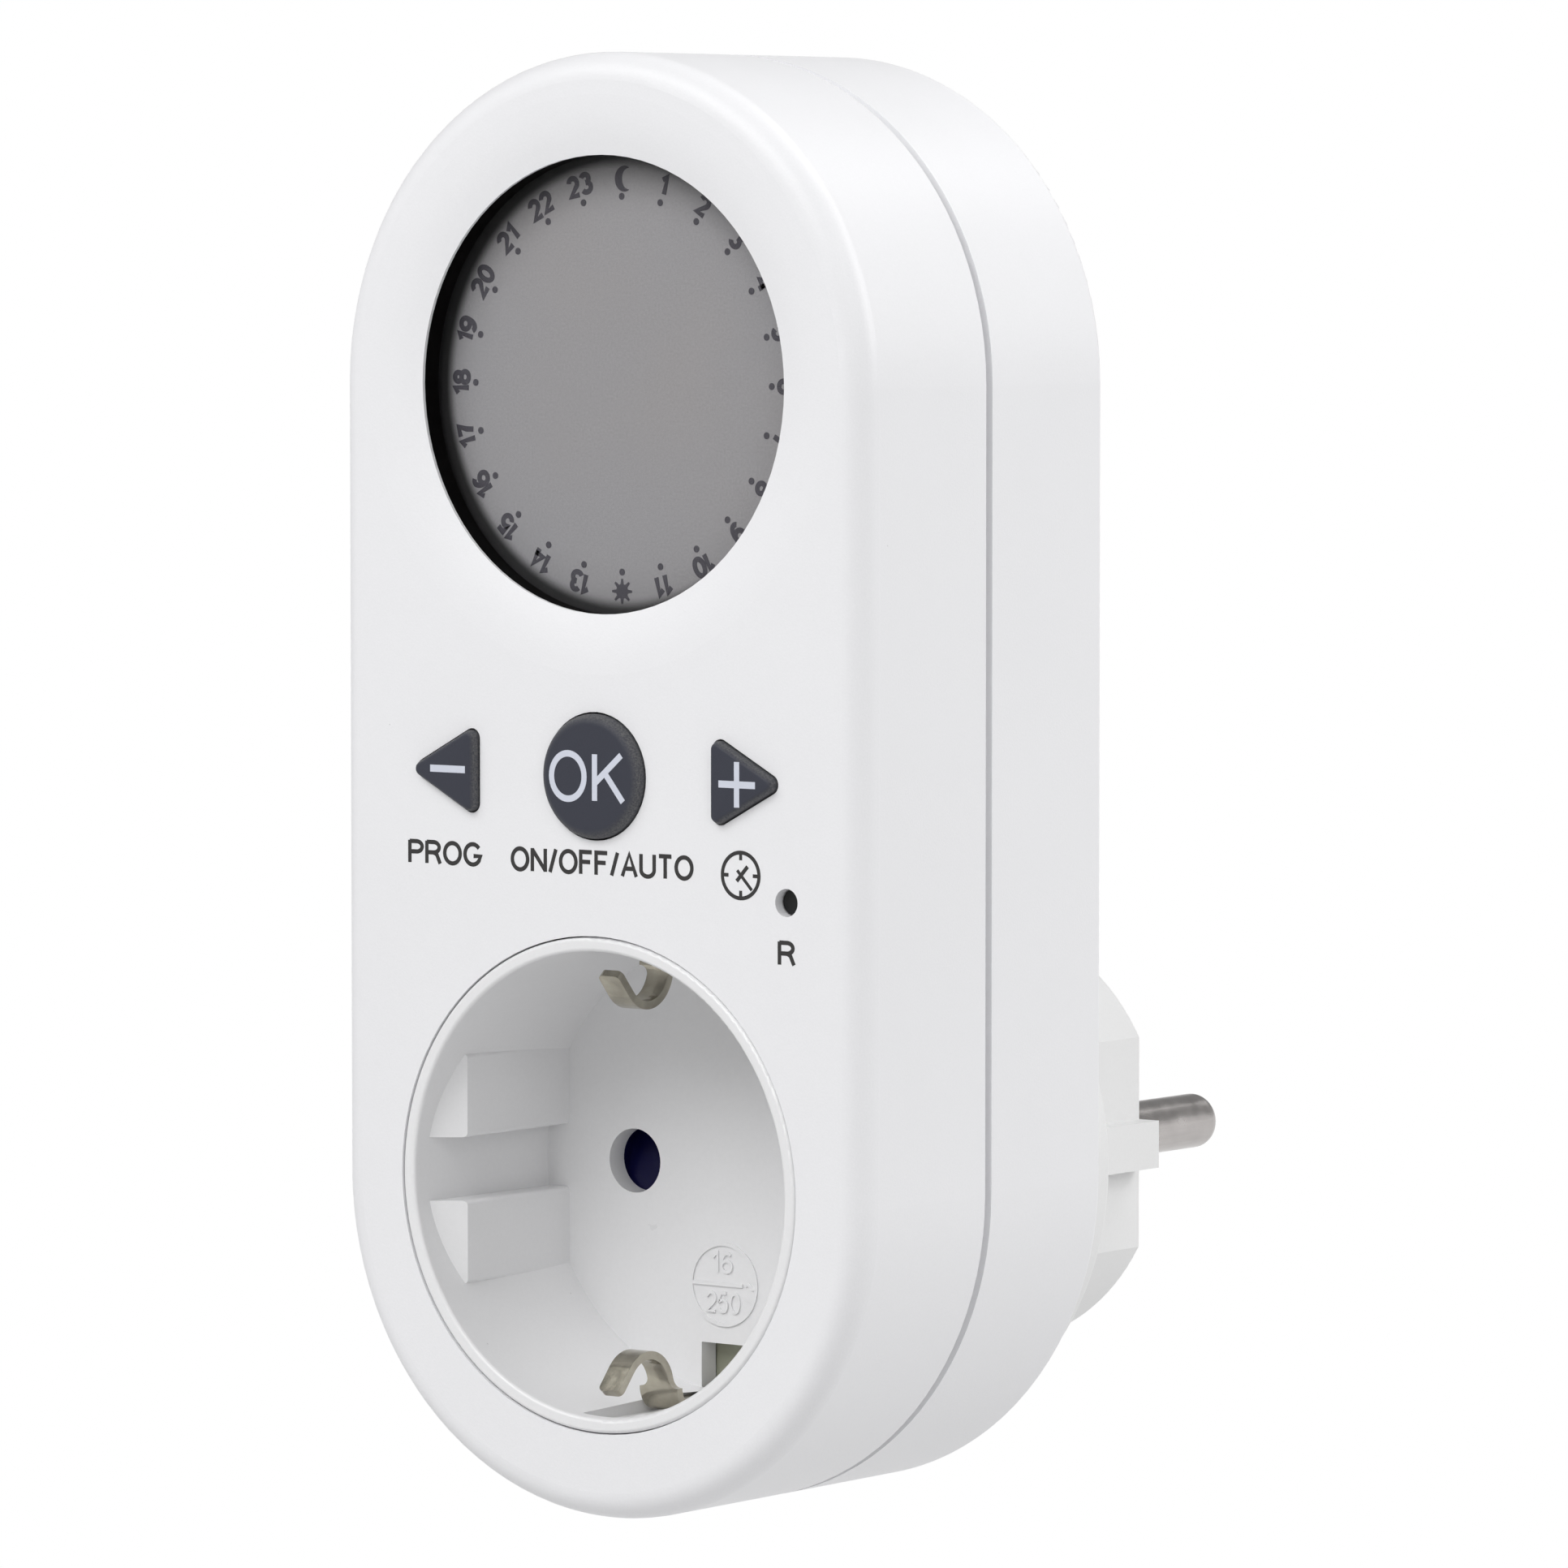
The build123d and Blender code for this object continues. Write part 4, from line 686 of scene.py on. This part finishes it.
ok_foot, ok_top, ok_weight = ok_front - 0.01, ok_front + 0.03, 0.54
ok_ink = set_line("O", letter, (-4.09, -0.11, 31.94, 36.26), ok_weight, ok_foot, ok_top)
ok_ink += set_line("K", letter, (0.45, 3.86, 32.05, 36.1), ok_weight, ok_foot, ok_top)
make_piece("ok_key_sign", ok_ink, key_ink, "ok_key")
sign_foot, sign_top = arrow_front - 0.01, arrow_front + 0.02
minus_ink = [stroke([(-16.97, 34.2), (-13.23, 34.2)], 0.6, sign_foot, sign_top)]
make_piece("minus_key_sign", minus_ink, key_ink, "minus_key")
plus_ink = [stroke([(13.49, 34.03), (17.24, 34.03)], 0.58, sign_foot, sign_top),
            stroke([(15.35, 32.16), (15.35, 35.9)], 0.54, sign_foot, sign_top - 2 * bar_step)]
make_piece("plus_key_sign", plus_ink, key_ink, "plus_key")

# ---- Legends on the cover --------------------------------------------------------
# The words under the keys, the clock sign and the R of the reset hole are pad printed
# on the front cover in black ink that has almost no thickness.

cover_ink = skin_material("cover_black_ink", mould, paint(34, 32, 32),
                          {"Gloss": 0.5, "Grain": 6000.0, "Cloud": 0.3}, 0.15, 0.02)
face = 56.0
ink_foot, ink_top, word_weight = face - 0.01, face + 0.02, 0.36
ink = []
for word, box in (("PROG", (-20.04, -12.03, 26.02, 28.09)),
                  ("ON/OFF/AUTO", (-8.97, 10.3, 25.84, 27.95)),
                  ("R", (18.96, 20.78, 19.33, 21.41))):
    ink += set_line(word, letter, box, word_weight, ink_foot, ink_top)
clock, clock_radius = (15.16, 26.54), 1.88
ink.append(stroke(ring(*clock, clock_radius, clock_radius, 64), 0.32, ink_foot, ink_top, True))
for quarter in range(4):
    way = np.array([np.sin(quarter * np.pi / 2), np.cos(quarter * np.pi / 2)])
    ink.append(stroke([way * 1.25 + clock, way * 1.85 + clock], 0.3, ink_foot,
                      ink_top - bar_step))
ink.append(stroke([(14.75, 26.06), (15.87, 27.29)], 0.34, ink_foot, ink_top - 2 * bar_step))
ink.append(stroke([(14.8, 26.95), (16.3, 25.37)], 0.28, ink_foot, ink_top - 3 * bar_step))
make_piece("cover_legends", ink, cover_ink, "case")

# ---- Press switches --------------------------------------------------------------
# Small black thermoplastic press switches stand on the control board behind the keys,
# and a fourth behind the reset hole. Their plungers are moulded in the same plastic.

switch_black = skin_material("switch_black_nylon", mould, paint(18, 18, 19),
                             {"Gloss": 0.45, "Grain": 2800.0, "Cloud": 0.2}, 0.2, 0.03,
                             Specular_IOR_Level=0.3)
dress(switch_black, "minus_switch", "ok_switch", "plus_switch", "reset_switch", "minus_plunger",
      "ok_plunger", "plus_plunger", "reset_plunger")

# ---- Boards ----------------------------------------------------------------------
# Glass epoxy boards under green solder mask. Copper tracks show through the mask as
# paler lines, and the weave of the glass cloth as a faint grid. Screws hold both boards.


def board_skin():
    """Circuit board: green mask, paler over tracks laid on a grid, with the cloth's weave.

    Tracks are the cells' borders of a grid of square cells with uneven centres."""
    group, given, result = skin_group("board_skin", ("Gloss", "Tracks"))
    place = add_node(group, "ShaderNodeTexCoord").outputs["Object"]
    flat = add_node(group, "ShaderNodeMapping", {"Vector": place, "Scale": (1.0, 0.0, 1.0)})
    cells = add_node(group, "ShaderNodeTexVoronoi",
                     {"Vector": flat.outputs["Vector"], "Scale": given["Tracks"]},
                     distance="CHEBYCHEV", feature="F2").outputs["Distance"]
    band = math(group, "PINGPONG", cells, 0.09)
    track = math(group, "GREATER_THAN", band, 0.055)
    weave = add_node(group, "ShaderNodeTexChecker",
                     {"Vector": flat.outputs["Vector"], "Scale": 2400.0}).outputs["Fac"]
    lift = math(group, "MULTIPLY_ADD", track, 0.5,
                math(group, "MULTIPLY_ADD", weave, 0.05, 0.9))
    tone = add_node(group, "ShaderNodeVectorMath", {0: given["Colour"], "Scale": lift},
                    operation="SCALE").outputs[0]
    rough = math(group, "MULTIPLY_ADD", track, -0.06, given["Gloss"])
    group.links.new(tone, result["Colour"])
    group.links.new(rough, result["Roughness"])
    group.links.new(track, result["Height"])
    return group


board_green = skin_material("board_green_mask", board_skin(), paint(26, 92, 52),
                            {"Gloss": 0.3, "Tracks": 260.0}, 0.3, 0.05)
dress(board_green, "control_board", "power_board")
part_black = skin_material("part_black_epoxy", mould, paint(36, 36, 37),
                           {"Gloss": 0.55, "Grain": 3200.0, "Cloud": 0.25}, 0.3, 0.04)
dress(part_black, "controller_chip", "bridge_rectifier", "board_header")
crystal_can = skin_material("crystal_drawn_can", plate, paint(196, 198, 202),
                            {"Gloss": 0.22, "Line": 2400.0, "Tarnish": 0.15}, 0.2, 0.01,
                            Metallic=1.0)
dress(crystal_can, "crystal")
cell_steel = skin_material("battery_rolled_steel", plate, paint(204, 204, 206),
                           {"Gloss": 0.2, "Line": 900.0, "Tarnish": 0.12}, 0.2, 0.02,
                           Metallic=1.0)
dress(cell_steel, "backup_battery")

# ---- Power parts -----------------------------------------------------------------
# The mains dropper's film capacitor has a yellow box, the smoothing capacitor a printed
# sleeve, the varistor a blue lacquer dip, and the fuse resistor a beige cement coat.

film_yellow = skin_material("capacitor_yellow_box", mould, paint(222, 176, 40),
                            {"Gloss": 0.38, "Grain": 2400.0, "Cloud": 0.06}, 0.15, 0.04)
dress(film_yellow, "film_capacitor")
sleeve_dark = skin_material("capacitor_dark_sleeve", mould, paint(34, 36, 62),
                            {"Gloss": 0.25, "Grain": 900.0, "Cloud": 0.12}, 0.15, 0.05)
dress(sleeve_dark, "smoothing_capacitor")
varistor_blue = skin_material("varistor_blue_lacquer", mould, paint(34, 74, 158),
                              {"Gloss": 0.28, "Grain": 700.0, "Cloud": 0.15}, 0.35, 0.08,
                              Coat_Weight=0.3)
dress(varistor_blue, "varistor")
resistor_beige = skin_material("resistor_beige_cement", mould, paint(202, 180, 138),
                               {"Gloss": 0.7, "Grain": 1500.0, "Cloud": 0.15}, 0.5, 0.08)
dress(resistor_beige, "fuse_resistor")

# ---- Relay -----------------------------------------------------------------------
# A sealed power relay: black base and cover, a nylon bobbin wound with enamelled wire
# on a soft iron core, and a rocking armature that carries the moving silver contact.

relay_black = skin_material("relay_black_polyester", mould, paint(28, 28, 30),
                            {"Gloss": 0.4, "Grain": 2600.0, "Cloud": 0.15}, 0.2, 0.04)
dress(relay_black, "relay_base", "relay_cover")
relay_iron = skin_material("relay_zinced_iron", plate, paint(168, 170, 172),
                           {"Gloss": 0.38, "Line": 1300.0, "Tarnish": 0.35}, 0.3, 0.03,
                           Metallic=1.0)
dress(relay_iron, "relay_yoke", "relay_armature")
bobbin_nylon = skin_material("bobbin_natural_nylon", mould, paint(226, 220, 202),
                             {"Gloss": 0.4, "Grain": 1800.0, "Cloud": 0.08}, 0.15, 0.04)
dress(bobbin_nylon, "relay_bobbin")


def winding_skin():
    """Coil of enamelled wire: fine ridges stacked along Y, each a turn, with painted shade in
    the grooves between turns, a few turns darker.
    """
    group, given, result = skin_group("winding_skin", ("Gloss", "Turns"))
    place = add_node(group, "ShaderNodeTexCoord").outputs["Object"]
    along = add_node(group, "ShaderNodeSeparateXYZ", {"Vector": place}).outputs["Y"]
    turns = math(group, "MULTIPLY", along, given["Turns"])
    ridge_and_groove_shade = math(group, "ABSOLUTE", math(group, "SINE", turns))
    shade = add_node(group, "ShaderNodeTexWhiteNoise", {"W": math(group, "FLOOR", turns)},
                     noise_dimensions="1D").outputs["Value"]
    # The colour falls from each turn's crest to the groove between turns: painted shade. A few
    # turns are darker at random.
    level = math(group, "MULTIPLY_ADD", shade, 0.25,
                 math(group, "MULTIPLY_ADD", ridge_and_groove_shade, 0.5, 0.4))
    tone = add_node(group, "ShaderNodeVectorMath", {0: given["Colour"], "Scale": level},
                    operation="SCALE").outputs[0]
    rough = math(group, "MULTIPLY_ADD", ridge_and_groove_shade, -0.1, given["Gloss"])
    group.links.new(tone, result["Colour"])
    group.links.new(rough, result["Roughness"])
    group.links.new(ridge_and_groove_shade, result["Height"])
    return group


winding_copper = skin_material("winding_enamelled_copper", winding_skin(), paint(186, 98, 48),
                               {"Gloss": 0.35, "Turns": 26000.0}, 0.8, 0.06, Metallic=1.0)
dress(winding_copper, "relay_winding")
contact_silver = skin_material("contact_silver_alloy", plate, paint(214, 210, 202),
                               {"Gloss": 0.28, "Line": 2200.0, "Tarnish": 0.25}, 0.2, 0.02,
                               Metallic=1.0)
dress(contact_silver, "relay_moving_contact", "relay_fixed_contact")

# ---- Screws ----------------------------------------------------------------------
# Cross-slot self-tapping screws of zinc-plated steel: four long ones from behind for
# the case, and short ones for the two boards and the contact carrier.

screw_zinc = skin_material("screw_zinc_plate", plate, paint(188, 190, 194),
                           {"Gloss": 0.3, "Line": 1600.0, "Tarnish": 0.3}, 0.3, 0.02,
                           Metallic=1.0)
dress(screw_zinc, "case_screws", "control_board_screws", "power_board_screws", "carrier_screws")

# ---- Floor and light -------------------------------------------------------------
# A plain pale floor well below the timer, which is held as it would be on a wall, and
# which shows from above only. Five soft lamps stand in a white tent: in front, left,
# right, behind right and high behind. Gloss sees the tent darken above the horizon.

floor_z, floor_half, floor_cells = -0.1, 3.0, 12
across = floor_cells + 1
side = np.linspace(-floor_half, floor_half, across)
grid_x, grid_y = np.meshgrid(side, side, indexing="ij")
floor_points = np.stack([grid_x, grid_y, np.full_like(grid_x, floor_z)], -1).reshape(-1, 3)
row, column = np.meshgrid(np.arange(floor_cells) * across, np.arange(floor_cells),
                          indexing="ij")
corner = row + column
floor_faces = np.stack([corner, corner + across, corner + across + 1, corner + 1],
                       -1).reshape(-1, 4)
floor_mesh = bpy.data.meshes.new("studio_floor")
floor_mesh.from_pydata(floor_points.tolist(), [], floor_faces.tolist())
studio_floor = bpy.data.objects.new("studio_floor", floor_mesh)
bpy.context.scene.collection.objects.link(studio_floor)

floor_paint = bpy.data.materials.new("floor_pale_paint")
floor_paint.use_nodes = True
tree = floor_paint.node_tree
matt = tree.nodes["Principled BSDF"]
matt.inputs["Base Color"].default_value = paint(214, 214, 214)
matt.inputs["Roughness"].default_value = 0.9
matt.inputs["Specular IOR Level"].default_value = 0.0
ray = add_node(tree, "ShaderNodeLightPath").outputs
seen = math(tree, "MAXIMUM", ray["Is Camera Ray"],
            math(tree, "MAXIMUM", ray["Is Glossy Ray"], ray["Is Transmission Ray"]))
white = add_node(tree, "ShaderNodeEmission", {"Color": (1.0, 1.0, 1.0, 1.0), "Strength": 1.0})
spot = add_node(tree, "ShaderNodeTexCoord").outputs["Object"]
away = add_node(tree, "ShaderNodeVectorMath", {0: spot, 1: (0.0, 0.0, floor_z)},
                operation="DISTANCE").outputs["Value"]
fade = add_node(tree, "ShaderNodeMapRange", {"Value": away, "From Min": 0.12, "From Max": 0.36,
                                             "To Min": 0.75, "To Max": 1.0}).outputs["Result"]
show = add_node(tree, "ShaderNodeMixShader", {"Fac": math(tree, "MULTIPLY", seen, fade),
                                              1: matt.outputs[0], 2: white.outputs[0]})
under = add_node(tree, "ShaderNodeNewGeometry").outputs["Backfacing"]
open_below = add_node(tree, "ShaderNodeBsdfTransparent")
one_sided = add_node(tree, "ShaderNodeMixShader", {"Fac": under, 1: show.outputs[0],
                                                   2: open_below.outputs[0]})
tree.links.new(one_sided.outputs[0], tree.nodes["Material Output"].inputs["Surface"])
floor_mesh.materials.append(floor_paint)

world = bpy.data.worlds.new("white_tent")
bpy.context.scene.world = world
world.use_nodes = True
tree = world.node_tree
ray = add_node(tree, "ShaderNodeLightPath").outputs
plain = math(tree, "MAXIMUM", ray["Is Camera Ray"], ray["Is Transmission Ray"])
way = add_node(tree, "ShaderNodeTexCoord").outputs["Generated"]
rise = add_node(tree, "ShaderNodeSeparateXYZ", {"Vector": way}).outputs["Z"]
wall = add_node(tree, "ShaderNodeMapRange", {"Value": rise, "From Min": 0.05, "From Max": 0.3,
                                             "To Min": 1.0, "To Max": 0.3}).outputs["Result"]
mirrored = math(tree, "MULTIPLY", ray["Is Glossy Ray"], wall)
scattered = math(tree, "MULTIPLY", ray["Is Diffuse Ray"], 0.2)
tent = tree.nodes["Background"]
tent.inputs["Color"].default_value = (1.0, 1.0, 1.0, 1.0)
tree.links.new(math(tree, "MAXIMUM", plain, math(tree, "MAXIMUM", mirrored, scattered)),
               tent.inputs["Strength"])


def stand(name, data, place, target):
    """Object of a lamp or camera at a place in metres, turned so that it faces a target."""
    holder = bpy.data.objects.new(name, data)
    holder.location = place
    aim = Vector(target) - Vector(place)
    holder.rotation_mode = "QUATERNION"
    holder.rotation_quaternion = aim.to_track_quat("-Z", "Y")
    bpy.context.scene.collection.objects.link(holder)
    return holder


timer_middle, lamp_width = (0, -0.02, 0.033), 0.6
for name, place, power in (("front_lamp", (0.0, -0.845, 0.76), 5.1),
                           ("left_lamp", (-0.484, -0.713, 0.737), 3.8),
                           ("right_lamp", (0.766, -0.677, 0.471), 1.9),
                           ("back_lamp", (0.864, 0.479, 0.495), 5.2),
                           ("high_lamp", (0.3, 0.55, 0.87), 3.3)):
    lamp = bpy.data.lights.new(name, "AREA")
    lamp.size, lamp.energy = lamp_width, power
    stand(name, lamp, place, timer_middle).visible_camera = False

# ---- Camera ----------------------------------------------------------------------
# A long lens at about the height of the display, 0.75 m away to the front right, so that
# the face, the right-hand side and the end of one plug pin show.

lens = bpy.data.cameras.new("camera")
lens.sensor_width, lens.lens = 36.0, 201.8
lens.clip_start, lens.clip_end = 0.01, 20.0
camera = stand("camera", lens, (0.4497, -0.6275, 0.0799), (-0.00468, -0.02374, 0.03164))
bpy.context.scene.camera = camera
bpy.context.scene.view_settings.view_transform = "Standard"
